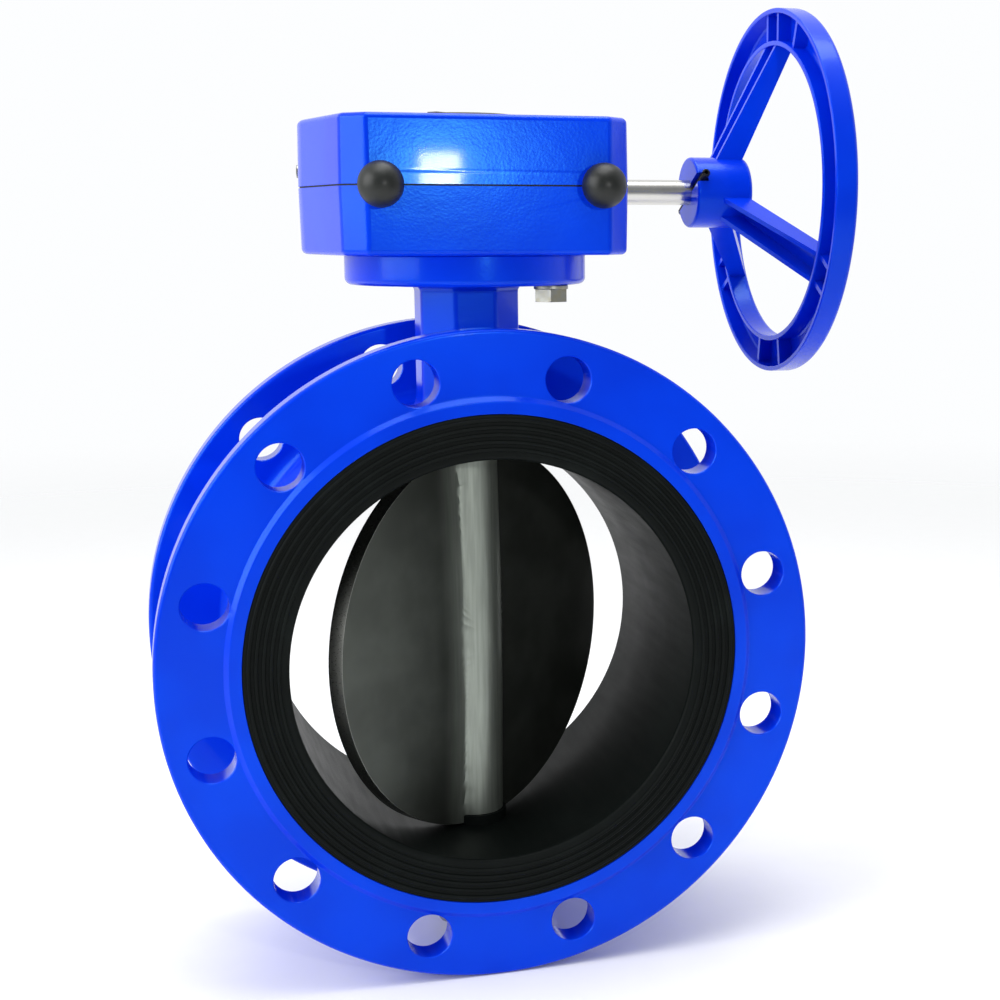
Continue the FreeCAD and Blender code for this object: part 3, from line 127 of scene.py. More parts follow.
def colour(label, rgb, description):
    return FloatVectorProperty(name=label, description=description, default=rgb,
                               subtype="COLOR", size=3, min=0.0, max=1.0)


class VALVE_PG_body(bpy.types.PropertyGroup):
    """The cast body."""

    flange_r: length("Flange radius", high("valve_body").x / MM, "Outer radius of each flange")
    flange_t: length("Flange thickness", 22, "From the sealing face to the back of the flange")
    edge_r: length("Flange edge", 2.5, "Rounding of the flange's outer corners")
    raised_r: length("Raised face radius", 160, "Radius of the raised sealing face")
    raised_h: length("Raised face height", 3, "Step between raised face and flange face")
    bolt_circle_r: length("Bolt circle radius", 177.5, "Radius of the flange bolt circle")
    bolt_hole_r: length("Bolt hole radius", 14, "Radius of each flange bolt hole")
    hole_chamfer: length("Hole chamfer", 0.6, "Chamfer round each bolt hole")
    barrel_r: length("Barrel radius", 150, "Outer radius of the barrel between the flanges")
    barrel_fillet: length("Barrel fillet", 9, "Cast fillet between barrel and flange")
    bore_r: length("Body bore radius", 135.1, "Radius of the bore that holds the liner")
    recess_r: length("Lip recess radius", 152.6, "Radius of the recess for the liner's lip")
    recess_t: length("Lip recess depth", 6, "Depth of the recess for the liner's lip")
    neck_flats: length("Neck across flats", 62, "Width of the octagonal neck")
    neck_fillet: length("Neck fillet", 8, "Cast fillet at the foot and the head of the neck")
    neck_corner: length("Neck corner", 2.2, "Rounding of the neck's eight corners")
    mount_r: length("Mounting flange radius", 75, "Radius of the gearbox mounting flange")
    mount_t: length("Mounting flange thickness", 18.5, "Thickness of the mounting flange")
    mount_circle_r: length("Mounting circle radius", 62.5, "Radius of the gearbox bolt circle")
    boss_bottom: length("Bottom boss depth", 184, "From the pipe axis to the boss's lower face")
    bolts: IntProperty(name="Bolt holes", description="Bolt holes in each flange", default=12, min=4)
    segments: IntProperty(name="Segments", description="Facets round each flange", default=192, min=48)


class VALVE_PG_liner(bpy.types.PropertyGroup):
    """The rubber liner."""

    bore_r: length("Bore radius", 125, "Radius of the waterway")
    lip_r: length("Lip radius", 152.5, "Outer radius of the sealing lip")
    lip_t: length("Lip thickness", 5.9, "Thickness of the lip in its recess")
    wall: length("Wall", 10, "Thickness of the sleeve")
    ridge_r: length("Ridge radius", 1.3, "Radius of each sealing ridge")
    ridges: IntProperty(name="Ridges", description="Sealing ridges on each lip", default=5, min=1)


class VALVE_PG_disc(bpy.types.PropertyGroup):
    """The disc."""

    radius: length("Radius", 124.5, "Radius of the sphere that the disc's edge lies on")
    centre_t: length("Thickness at centre", 18, "Thickness of the plate near the stem")
    edge_t: length("Thickness at edge", 9, "Thickness of the plate at its edge")
    flat_r: length("Flat radius", 44, "Radius of the thick middle of the plate")
    boss_r: length("Boss radius", 17.5, "Radius of the boss along the stem")
    blend: length("Blend", 12, "Size of the cast fillet between boss and plate")
    seat_r: length("Seat radius", 20, "Radius of the flat round each end of the boss")
    seat_z: length("Seat height", 117.7, "From the pipe axis to the flat at each end of the boss")
    open_deg: FloatProperty(name="Opening", description="How far the disc stands open, in degrees",
                            default=38.0)


class VALVE_PG_wheel(bpy.types.PropertyGroup):
    """The handwheel."""

    radius: length("Radius", 125, "Outer radius of the rim")
    rim_w: length("Rim width", 25, "Radial width of the rim")
    rim_depth: length("Rim depth", 16, "Depth of the rim's channel section")
    wall: length("Rim wall", 3.4, "Thickness of the rim's two walls")
    floor: length("Rim floor", 4, "Thickness of the rim's floor")
    hub_r: length("Hub radius", 24, "Outer radius of the hub")
    hub_l: length("Hub length", 40, "Length of the hub")
    spoke_wall: length("Spoke wall", 3.2, "Thickness of the spokes' side walls")
    spoke_hub_w: length("Spoke width at hub", 17, "Width of a spoke at the hub")
    spoke_rim_w: length("Spoke width at rim", 23, "Width of a spoke at the rim")
    spoke_drop: length("Spoke start", 19, "From the hub's near end to where the spokes start")
    spoke_hub_depth: length("Spoke depth at hub", 19, "Depth of a spoke's channel at the hub")
    spoke_rim_depth: length("Spoke depth at rim", 13, "Depth of a spoke's channel at the rim")
    edge: length("Edge rounding", 0.9, "Rounding of every cast edge")
    spokes: IntProperty(name="Spokes", description="Number of spokes", default=3, min=2)
    segments: IntProperty(name="Segments", description="Facets round the rim", default=160, min=48)


class VALVE_PG_hardware(bpy.types.PropertyGroup):
    """Caps, bolts and pins."""

    cap_r: length("Cap radius", 13.1, "Radius of the rubber balls over the stop screws")
    bolt_r: length("Bolt radius", 6, "Thread radius of the mounting bolt")
    bolt_flats: length("Bolt across flats", 19, "Width across the bolt head's flats")
    bolt_deg: FloatProperty(name="Bolt turn", description="Turn of the bolt head's corners, in degrees",
                            default=-14.0)
    pin_r: length("Pin radius", 2.8, "Radius of the handwheel's roll pin")
    pin_l: length("Pin length", 60, "Length of the handwheel's roll pin")
    pin_deg: FloatProperty(name="Pin angle", description="Lean of the roll pin from upright, in degrees",
                           default=64.0)
    pin_inset: length("Pin inset", 4.5, "From the hub's near end to the pin's axis")


class VALVE_PG_finish(bpy.types.PropertyGroup):
    """Colours of the finishes."""

    enamel: colour("Enamel", (0.0006, 0.038, 0.72), "Blue enamel on the castings")
    enamel_deep: colour("Enamel in hollows", (0.0003, 0.026, 0.62), "Blue enamel where it pools")
    sheen: colour("Enamel sheen", (0.07, 0.48, 1.0), "Tint of what the enamel mirrors")
    rubber: colour("Liner rubber", (0.0035, 0.0048, 0.0044), "Black rubber of the liner")
    cap_rubber: colour("Cap rubber", (0.005, 0.0065, 0.0055), "Black rubber of the caps")
    disc: colour("Disc", (0.060, 0.066, 0.058), "Dark coated iron of the disc")
    disc_edge: colour("Disc edge", (0.42, 0.43, 0.40), "Machined edge of the disc")
    steel: colour("Steel", (0.62, 0.61, 0.58), "Bright turned steel")
    zinc: colour("Zinc", (0.34, 0.345, 0.31), "Zinc plating")
    bronze: colour("Bronze", (0.50, 0.30, 0.12), "Bearing bronze")
    iron: colour("Gear iron", (0.16, 0.16, 0.17), "Bare ductile iron of the gear")
    fibre: colour("Gasket", (0.020, 0.021, 0.024), "Gasket fibre")
    plastic: colour("Indicator", (0.018, 0.018, 0.020), "Plastic of the position indicator")


class VALVE_PG_stage(bpy.types.PropertyGroup):
    """Floor, lights and camera."""

    floor_colour: colour("Floor", (0.90, 0.90, 0.90), "Plain pale floor")
    front_tone: colour("Studio in front", (0.28, 0.29, 0.30), "Brightness in front of the valve")
    back_tone: colour("Studio behind", (0.98, 0.99, 1.0), "Brightness behind and beside the valve")
    camera_at: FloatVectorProperty(name="Camera", description="Where the camera stands",
                                   default=(-0.2056, -0.9870, 0.2607), subtype="TRANSLATION")
    yaw: FloatProperty(name="Yaw", description="Camera turned to the right of +Y, in degrees", default=16.92)
    pitch: FloatProperty(name="Pitch", description="Camera tilted below the horizon, in degrees",
                         default=10.89)
    lens: FloatProperty(name="Lens", description="Focal length in millimetres", default=61.26)
    shift_x: FloatProperty(name="Shift X", description="Sideways shift of the frame", default=-0.148)
    shift_y: FloatProperty(name="Shift Y", description="Upward shift of the frame", default=0.0555)


GROUPS = {
    "valve_body": VALVE_PG_body,
    "valve_liner": VALVE_PG_liner,
    "valve_disc": VALVE_PG_disc,
    "valve_wheel": VALVE_PG_wheel,
    "valve_hardware": VALVE_PG_hardware,
    "valve_finish": VALVE_PG_finish,
    "valve_stage": VALVE_PG_stage,
}


# ---------------------------------------------------------------- shader building

class Signal:
    """A shader socket that takes arithmetic: each operator adds one Math node."""

    def __init__(self, shader, socket):
        self.shader = shader
        self.socket = socket

    def maths(self, operation, first, second):
        return self.shader.node("ShaderNodeMath", {"operation": operation}, [first, second])

    def __add__(self, other):
        return self.maths("ADD", self, other)

    def __sub__(self, other):
        return self.maths("SUBTRACT", self, other)

    def __rsub__(self, other):
        return self.maths("SUBTRACT", other, self)

    def __mul__(self, other):
        return self.maths("MULTIPLY", self, other)

    def __truediv__(self, other):
        return self.maths("DIVIDE", self, other)

    __radd__ = __add__
    __rmul__ = __mul__

    def ramp(self, start, end):
        """Nought below start, one above end, and smooth between them."""
        ranged = {"interpolation_type": "SMOOTHSTEP", "clamp": True}
        return self.shader.node("ShaderNodeMapRange", ranged, [self, start, end, 0.0, 1.0])


class NodeTree:
    """Short ways to add nodes to a shader tree."""

    def __init__(self, tree):
        self.tree = tree

    def node(self, kind, settings, values=(), output=0, **named):
        """Adds a node: its settings first, then the values or links of its sockets."""
        made = self.tree.nodes.new(kind)
        for setting, value in settings.items():
            setattr(made, setting, value)
        pairs = [(made.inputs[i], value) for i, value in enumerate(values)]
        pairs += [(made.inputs[label.replace("_", " ")], value) for label, value in named.items()]
        for socket, value in pairs:
            if isinstance(value, Signal):
                self.tree.links.new(value.socket, socket)
            else:
                socket.default_value = value
        return Signal(self, made.outputs[output])

    def place(self):
        return self.node("ShaderNodeTexCoord", {}, output="Object")

    def stretched(self, scale, turn=(0.0, 0.0, 0.0)):
        """Object coordinates, scaled along each axis for a drawn-out pattern."""
        return self.node("ShaderNodeMapping", {}, Vector=self.place(), Scale=scale, Rotation=turn)

    def noise(self, place, scale, detail=3.0, roughness=0.5):
        return self.node("ShaderNodeTexNoise", {}, Vector=place, Scale=scale, Detail=detail,
                         Roughness=roughness)

    def cells(self, place, scale):
        return self.node("ShaderNodeTexVoronoi", {"feature": "SMOOTH_F1"}, Vector=place, Scale=scale)

    def along(self, direction):
        """Distance from the origin along a direction."""
        return self.node("ShaderNodeVectorMath", {"operation": "DOT_PRODUCT"},
                         [self.place(), direction], output="Value")

    def distance(self):
        """Distance from the origin."""
        return self.node("ShaderNodeVectorMath", {"operation": "LENGTH"}, [self.place()], output="Value")

    def mix(self, factor, first, second):
        """A colour that goes from first to second with factor."""
        made = self.tree.nodes.new("ShaderNodeMix")
        made.data_type = "RGBA"
        inputs = {0: factor, 6: first, 7: second}
        for index, value in inputs.items():
            if isinstance(value, Signal):
                self.tree.links.new(value.socket, made.inputs[index])
            else:
                made.inputs[index].default_value = value if index == 0 else tuple(value) + (1.0,)
        return Signal(self, made.outputs[2])


class Shader(NodeTree):
    """A material with one Principled shader, and short ways to feed it."""

    def __init__(self, name, **fixed):
        self.material = bpy.data.materials.new(name)
        if self.material.name != name:
            raise RuntimeError("two materials are named " + name)
        self.material.use_nodes = True
        super().__init__(self.material.node_tree)
        self.surface = self.tree.nodes["Principled BSDF"]
        for socket, value in fixed.items():
            self.surface.inputs[socket.replace("_", " ")].default_value = value

    def feed(self, socket, signal):
        self.tree.links.new(signal.socket, self.surface.inputs[socket])

    def bump(self, height, depth, strength=1.0):
        self.feed("Normal", self.node("ShaderNodeBump", {}, Strength=strength, Distance=depth,
                                      Height=height))


def blue_enamel(finish):
    """Thick glossy enamel over cast iron: fine orange peel, slow swells and deeper colour in patches."""
    shader = Shader("blue_enamel", Specular_IOR_Level=0.5, Coat_Roughness=0.05, Coat_IOR=1.5)
    shader.surface.inputs["Specular Tint"].default_value = tuple(finish.sheen) + (1.0,)
    place = shader.place()
    patches = shader.noise(place, 14.0, 2.0)
    peel = shader.noise(place, 620.0, 1.0)
    swells = shader.noise(place, 60.0, 2.0)
    specks = shader.noise(place, 2200.0, 1.0)
    shader.feed("Base Color", shader.mix(patches.ramp(0.35, 0.68), finish.enamel, finish.enamel_deep))
    shader.feed("Roughness", patches * 0.08 + specks * 0.05 + 0.16)
    shader.feed("Coat Weight", patches * 0.05 + 0.05)
    shader.bump(peel + swells * 2.0 + specks * 0.15, 0.04 * MM)
    return shader.material


def liner_rubber(finish):
    """Moulded black rubber: faint green-grey bloom, fine grain and slow mould marks."""
    shader = Shader("black_liner", Specular_IOR_Level=0.07)
    place = shader.place()
    bloom = shader.noise(place, 22.0, 4.0, 0.6)
    grain = shader.noise(place, 2600.0, 2.0)
    scuffs = shader.noise(shader.stretched((1.0, 0.12, 1.0)), 160.0, 3.0)
    pale = tuple(3.0 * value for value in finish.rubber)
    shader.feed("Base Color", shader.mix(bloom.ramp(0.45, 0.85) * 0.5, finish.rubber, pale))
    shader.feed("Roughness", bloom * 0.16 + scuffs * 0.14 + 0.30)
    shader.bump(grain * 0.5 + scuffs * 0.5, 0.05 * MM)
    return shader.material


def cap_rubber(finish):
    """Softer shiny rubber of the dipped caps."""
    shader = Shader("black_caps", Specular_IOR_Level=0.4)
    place = shader.place()
    bloom = shader.noise(place, 60.0, 3.0)
    grain = shader.noise(place, 1500.0, 2.0)
    pale = tuple(3.0 * value for value in finish.cap_rubber)
    shader.feed("Base Color", shader.mix(bloom.ramp(0.4, 0.8) * 0.6, finish.cap_rubber, pale))
    shader.feed("Roughness", bloom * 0.15 + 0.34)
    shader.bump(grain * 0.4 + bloom, 0.04 * MM)
    return shader.material


def disc_coating(finish, disc):
    """Dark satin coating on the disc, painted paler on the boss as a highlight with streaks through it, and bare
    at the machined edge.
    """
    shader = Shader("disc_coating", Metallic=0.8, Specular_IOR_Level=0.5)
    turn = math.radians(disc.open_deg)
    across = Vector((math.cos(turn), math.sin(turn), 0.0))
    middle = STEM_CENTRE.dot(across)
    beyond = shader.along(across) - middle
    before = 0.0 - beyond
    # Painted highlight band: a mask over the boss and the blend beside it where the boss catches the light,
    # reaching further out on the left side.
    boss_highlight_band = ((1.0 - beyond.ramp(disc.boss_r * 0.45, disc.boss_r * 1.05))
               * (1.0 - before.ramp(disc.boss_r * 0.9, disc.boss_r * 2.3)))
    place = shader.place()
    mottle = shader.noise(place, 26.0, 3.0)
    streaks = shader.noise(shader.stretched((1.0, 1.0, 0.06)), 420.0, 3.0)
    pits = shader.noise(place, 1300.0, 2.0)
    pale = tuple(1.5 * value for value in finish.disc)
    # Painted highlight: the boss colour, 5.4 times the disc colour, stands in for the light the boss catches.
    boss = tuple(5.4 * value for value in finish.disc)
    body = shader.mix(mottle.ramp(0.3, 0.75), finish.disc, pale)
    # Painted highlight with real streaks: the pale boss colour broken by streaks of the plainer pale tone.
    streaked_boss_highlight = shader.mix(streaks.ramp(0.2, 0.8) * 0.35, boss, pale)
    shader.feed("Base Color", shader.mix(boss_highlight_band, body, streaked_boss_highlight))
    shader.feed("Roughness", mottle * 0.14 + streaks * 0.06 + 0.30)
    shader.bump(mottle + pits * 0.2 + streaks * 0.3, 0.04 * MM)
    return shader.material


def disc_edge(finish):
    """The disc's machined edge: bright metal with turning lines."""
    shader = Shader("disc_edge", Metallic=1.0)
    lines = shader.noise(shader.stretched((0.2, 0.2, 1.0)), 2200.0, 2.0)
    dark = tuple(0.6 * value for value in finish.disc_edge)
    shader.feed("Base Color", shader.mix(lines, finish.disc_edge, dark))
    shader.feed("Roughness", lines * 0.15 + 0.22)
    shader.bump(lines, 0.03 * MM, 0.4)
    return shader.material


def turned_steel(name, tint, axis, roughness):
    """Turned and polished steel: fine rings round an axis and faint stains."""
    shader = Shader(name, Metallic=1.0)
    squeeze = tuple(1.0 if axis[i] else 0.04 for i in range(3))
    rings = shader.noise(shader.stretched(squeeze), 2600.0, 2.0)
    stains = shader.noise(shader.place(), 55.0, 4.0)
    dull = tuple(0.55 * value for value in tint)
    shader.feed("Base Color", shader.mix(stains.ramp(0.5, 0.8) * 0.6, tint, dull))
    shader.feed("Roughness", rings * 0.10 + stains * 0.10 + roughness)
    shader.bump(rings, 0.02 * MM, 0.35)
    return shader.material


def plated_zinc(finish):
    """Zinc plating with a pale bloom and fine crystals."""
    shader = Shader("plated_zinc", Metallic=1.0)
    crystals = shader.cells(shader.place(), 900.0)
    bloom = shader.noise(shader.place(), 180.0, 4.0)
    warm = (finish.zinc[0], finish.zinc[1] * 0.94, finish.zinc[2] * 0.78)
    shader.feed("Base Color", shader.mix(bloom.ramp(0.4, 0.75), finish.zinc, warm))
    shader.feed("Roughness", bloom * 0.22 + crystals * 0.12 + 0.20)
    shader.bump(crystals + bloom, 0.03 * MM, 0.4)
    return shader.material


def black_spring_steel():
    """Oil-blackened spring steel."""
    shader = Shader("black_spring_steel", Metallic=0.9)
    wear = shader.noise(shader.place(), 320.0, 4.0)
    shader.feed("Base Color", shader.mix(wear.ramp(0.6, 0.85), (0.02, 0.02, 0.022), (0.14, 0.14, 0.14)))
    shader.feed("Roughness", wear * 0.3 + 0.25)
    shader.bump(wear, 0.03 * MM, 0.4)
    return shader.material


def cast_metal(name, tint, metallic, roughness):
    """A plain machined or cast metal with mottling, for bushes and gears."""
    shader = Shader(name, Metallic=metallic)
    mottle = shader.noise(shader.place(), 130.0, 4.0)
    grain = shader.noise(shader.place(), 1700.0, 2.0)
    dull = tuple(0.6 * value for value in tint)
    shader.feed("Base Color", shader.mix(mottle.ramp(0.35, 0.7), tint, dull))
    shader.feed("Roughness", mottle * 0.2 + roughness)
    shader.bump(grain + mottle, 0.04 * MM, 0.4)
    return shader.material


def gasket_fibre(finish):
    """Pressed gasket fibre."""
    shader = Shader("pressed_fibre", Specular_IOR_Level=0.3)
    threads = shader.noise(shader.stretched((1.0, 0.2, 1.0)), 1500.0, 3.0)
    pale = tuple(3.0 * value for value in finish.fibre)
    shader.feed("Base Color", shader.mix(threads.ramp(0.4, 0.8), finish.fibre, pale))
    shader.feed("Roughness", threads * 0.2 + 0.6)
    shader.bump(threads, 0.05 * MM, 0.6)
    return shader.material


def indicator_plastic(finish):
    """Moulded black plastic with fine spark texture."""
    shader = Shader("moulded_plastic", Specular_IOR_Level=0.5)
    texture = shader.noise(shader.place(), 1400.0, 2.0)
    wear = shader.noise(shader.place(), 90.0, 4.0)
    pale = tuple(3.5 * value for value in finish.plastic)
    shader.feed("Base Color", shader.mix(wear.ramp(0.5, 0.8) * 0.5, finish.plastic, pale))
    shader.feed("Roughness", texture * 0.12 + wear * 0.12 + 0.32)
    shader.bump(texture, 0.06 * MM, 0.5)
    return shader.material


def finishes(scene):
    """Every material of the valve, made once, by material slot."""
    if "valve_finishes_made" not in scene:
        finish = scene.valve_finish
        blue_enamel(finish)
        liner_rubber(finish)
        cap_rubber(finish)
        disc_coating(finish, scene.valve_disc)
        disc_edge(finish)
        turned_steel("polished_shaft", finish.steel, X_AXIS, 0.10)
        turned_steel("ground_stem", finish.steel, Z_AXIS, 0.22)
        turned_steel("bearing_chrome", finish.steel, X_AXIS, 0.12)
        plated_zinc(finish)
        black_spring_steel()
        cast_metal("bearing_bronze", finish.bronze, 1.0, 0.28)
        cast_metal("cut_gear_iron", finish.iron, 0.9, 0.38)
        cast_metal("black_seals", finish.rubber, 0.0, 0.45)
        gasket_fibre(finish)
        indicator_plastic(finish)
        scene["valve_finishes_made"] = True


MATERIAL_OF_SLOT = {
    "blue_paint": "blue_enamel",
    "liner_rubber": "black_liner",
    "seal_rubber": "black_seals",
    "cap_rubber": "black_caps",
    "disc_metal": "disc_coating",
    "stem_steel": "ground_stem",
    "shaft_steel": "polished_shaft",
    "bearing_steel": "bearing_chrome",
    "zinc_steel": "plated_zinc",
    "spring_steel": "black_spring_steel",
    "bronze": "bearing_bronze",
    "gear_iron": "cut_gear_iron",
    "gasket_fibre": "pressed_fibre",
    "indicator_plastic": "moulded_plastic",
}


# ---------------------------------------------------------------- mesh helpers

def rounded(corners, closed=True, steps=5):
    """Points of an outline (u, v) through corners (u, v, radius), each rounded by its own radius."""
    points = []
    count = len(corners)
    for i, corner in enumerate(corners):
        here = Vector(corner[:2])
        radius = corner[2] if len(corner) > 2 else 0.0
        at_end = not closed and i in (0, count - 1)
        if radius <= 0.0 or at_end:
            points.append(here)
            continue
        back = (Vector(corners[i - 1][:2]) - here).normalized()
        ahead = (Vector(corners[(i + 1) % count][:2]) - here).normalized()
        half = back.angle(ahead) / 2
        centre = here + (back + ahead).normalized() * (radius / math.sin(half))
        start = here + back * (radius / math.tan(half)) - centre
        sweep = (here + ahead * (radius / math.tan(half)) - centre).angle_signed(start)
        points += [centre + Matrix.Rotation(sweep * k / steps, 2) @ start for k in range(steps + 1)]
    return points


def chain(bm, corners, place, closed):
    """A line of edges through rounded corners; place turns (u, v) into a point."""
    verts = [bm.verts.new(place(u, v)) for u, v in rounded(corners, closed)]
    pairs = list(zip(verts, verts[1:]))
    if closed:
        pairs.append((verts[-1], verts[0]))
    return verts + [bm.edges.new(pair) for pair in pairs]


def tidy(bm):
    """Merge what meets and turn every face outwards."""
    bmesh.ops.remove_doubles(bm, verts=bm.verts, dist=0.5e-6)
    bmesh.ops.dissolve_degenerate(bm, edges=bm.edges, dist=0.5e-6)
    bmesh.ops.recalc_face_normals(bm, faces=bm.faces)
    return bm


def spin_into(bm, corners, centre, axis, closed, segments):
    """Spin an outline (radius, distance along the axis) a full turn about an axis."""
    side = Z_AXIS if axis == X_AXIS else X_AXIS
    outline = chain(bm, corners, lambda r, a: centre + side * r + axis * a, closed)
    bmesh.ops.spin(bm, geom=outline, cent=centre, axis=axis, dvec=(0, 0, 0), angle=math.tau,
                   steps=segments, use_merge=True, use_normal_flip=False, use_duplicate=False)


def turned_piece(corners, centre, axis, closed=True, segments=96):
    """A bmesh turned on a lathe: closed outlines make rings, open ones end on the axis."""
    bm = bmesh.new()
    spin_into(bm, corners, centre, axis, closed, segments)
    return tidy(bm)


def rod(radius, start, end, segments=48):
    """A plain round bar from start to end, used for cutting holes."""
    axis = end - start
    bm = bmesh.new()
    matrix = Matrix.Translation((start + end) / 2) @ axis.to_track_quat("Z", "Y").to_matrix().to_4x4()
    bmesh.ops.create_cone(bm, cap_ends=True, segments=segments, radius1=radius, radius2=radius,
                          depth=axis.length, matrix=matrix)
    return bm


def bar(x0, x1, y0, y1, z0, z1):
    """A rectangular bar between two corners, used inside other shapes."""
    bm = bmesh.new()
    size = Matrix.Diagonal((x1 - x0, y1 - y0, z1 - z0, 1.0))
    middle = Matrix.Translation(((x0 + x1) / 2, (y0 + y1) / 2, (z0 + z1) / 2))
    bmesh.ops.create_cube(bm, size=1.0, matrix=middle @ size)
    return bm


def to_mesh(bm, name):
    mesh = bpy.data.meshes.new(name)
    bm.to_mesh(mesh)
    bm.free()
    return mesh


def combined(bm, others):
    """Joins or cuts closed shapes: others is a list of (operation, bmesh)."""
    base = bpy.data.objects.new("combining", to_mesh(bm, "combining"))
    bpy.context.scene.collection.objects.link(base)
    helpers = []
    for operation, other in others:
        helper = bpy.data.objects.new("helper", to_mesh(other, "helper"))
        bpy.context.scene.collection.objects.link(helper)
        helpers.append(helper)
        modifier = base.modifiers.new("join", "BOOLEAN")
        modifier.operation = operation
        modifier.solver = "EXACT"
        modifier.object = helper
    bpy.context.view_layer.update()
    evaluated = base.evaluated_get(bpy.context.evaluated_depsgraph_get())
    result = bmesh.new()
    result.from_mesh(evaluated.to_mesh())
    evaluated.to_mesh_clear()
    for leftover in [base] + helpers:
        bpy.data.objects.remove(leftover)
    tidy(result)
    open_edges = sum(1 for edge in result.edges if not edge.is_manifold)
    if open_edges:
        raise RuntimeError(f"joining shapes left {open_edges} open edges")
    return result


def turn_about(bm, centre, axis, degrees):
    bmesh.ops.rotate(bm, cent=centre, matrix=Matrix.Rotation(math.radians(degrees), 3, axis),
                     verts=bm.verts)
    return bm


def finished(name, bm, body, slot, replaced=(), sharp_deg=34.0, bevel=0.0, materials=()):
    """Turns a bmesh into a shown piece: shading, material, body, slot and the nodes it stands for."""
    mesh = to_mesh(bm, name)
    for face in mesh.polygons:
        face.use_smooth = True
    mesh.set_sharp_from_angle(angle=math.radians(sharp_deg))
    for material in materials or [MATERIAL_OF_SLOT[slot]]:
        mesh.materials.append(bpy.data.materials[material])
    piece = bpy.data.objects.new(name, mesh)
    bpy.context.scene.collection.objects.link(piece)
    if bevel > 0.0:
        soften = piece.modifiers.new("soften", "BEVEL")
        soften.width = bevel
        soften.segments = 2
        soften.limit_method = "ANGLE"
        soften.angle_limit = math.radians(30.0)
        soften.use_clamp_overlap = True
        soften.harden_normals = False
    weighted = piece.modifiers.new("weighted", "WEIGHTED_NORMAL")
    weighted.mode = "FACE_AREA_WITH_ANGLE"
    weighted.keep_sharp = bevel <= 0.0
    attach(piece, body)
    if replaced:
        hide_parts(*replaced)
    return piece


def merged_copy(node):
    """A CAD node's own shape as one joined skin, ready to be softened."""
    bm = bmesh.new()
    bm.from_mesh(frame["nodes"][node].data)
    bmesh.ops.remove_doubles(bm, verts=bm.verts, dist=1e-6)
    bmesh.ops.dissolve_degenerate(bm, edges=bm.edges, dist=1e-7)
    return bm


# ---------------------------------------------------------------- valve body

def pipe_point(radius, degrees, along):
    angle = math.radians(degrees)
    return Vector((radius * math.cos(angle), along, radius * math.sin(angle)))


def circle_edges(bm, radius, centre, axis, segments):
    """A circle of edges facing along an axis."""
    matrix = Matrix.Translation(centre) @ axis.to_track_quat("Z", "Y").to_matrix().to_4x4()
    made = bmesh.ops.create_circle(bm, cap_ends=False, radius=radius, segments=segments, matrix=matrix)
    return list({edge for vert in made["verts"] for edge in vert.link_edges})


def spool(body):
    """The flanged barrel, turned in one piece."""
    shoulder_r = body.raised_r + body.raised_h
    front = [(body.bore_r, body.recess_t, 0.3 * MM), (body.recess_r, body.recess_t, 0.3 * MM),
             (body.recess_r, 0.0, 0.4 * MM), (body.raised_r, 0.0, 1.2 * MM), (shoulder_r, body.raised_h, MM),
             (body.flange_r, body.raised_h, body.edge_r), (body.flange_r, body.flange_t, body.edge_r),
             (body.barrel_r, body.flange_t, body.barrel_fillet)]
    back = [(r, FACE_TO_FACE - along, radius) for r, along, radius in reversed(front)]
    return turned_piece(front + back, Vector(), Y_AXIS, segments=body.segments)


def flange_drills(body, start, end):
    """Cutters for one flange's bolt holes, wider at both faces for the chamfers."""
    bm = bmesh.new()
    wide = body.bolt_hole_r + body.hole_chamfer + 2 * MM
    outline = [(0.0, start - 2 * MM), (wide, start - 2 * MM), (body.bolt_hole_r, start + body.hole_chamfer),
               (body.bolt_hole_r, end - body.hole_chamfer), (wide, end + 2 * MM), (0.0, end + 2 * MM)]
    for i in range(body.bolts):
        centre = pipe_point(body.bolt_circle_r, 360.0 * (i + 0.5) / body.bolts, 0.0)
        spin_into(bm, outline, centre, Y_AXIS, False, 48)
    return tidy(bm)


def flared(bm, edges, centre, stations):
    """Carries a loop of edges along the stem through stations of (scale about the stem, height)."""
    current = 1.0
    for scale, height in stations:
        made = bmesh.ops.extrude_edge_only(bm, edges=edges)["geom"]
        verts = [item for item in made if isinstance(item, bmesh.types.BMVert)]
        edges = [item for item in made if isinstance(item, bmesh.types.BMEdge)]
        ratio = scale / current
        current = scale
        bmesh.ops.scale(bm, vec=(ratio, ratio, 1.0), space=Matrix.Translation(-centre), verts=verts)
        step = height - verts[0].co.z
        bmesh.ops.translate(bm, vec=Z_AXIS * step, verts=verts)
    return edges


def quarter(radius, count=5):
    """Offsets and heights of a concave quarter-round, from its foot up."""
    angles = [math.pi / 2 * i / count for i in range(count + 1)]
    return [(radius * (1 - math.sin(a)), radius * (1 - math.cos(a))) for a in angles]


def saddle(bm, body, side, lowest):
    """Lets a foot above (side 1) or below (side -1) the barrel follow the barrel's curve."""
    for vert in bm.verts:
        height = vert.co.z * side
        if lowest < height < body.barrel_r + body.neck_fillet:
            fall = body.barrel_r - math.sqrt(body.barrel_r**2 - vert.co.x**2)
            near_foot = 1 - max(0.0, (height - body.barrel_r) / body.neck_fillet)
            vert.co.z -= side * fall * min(1.0, near_foot)


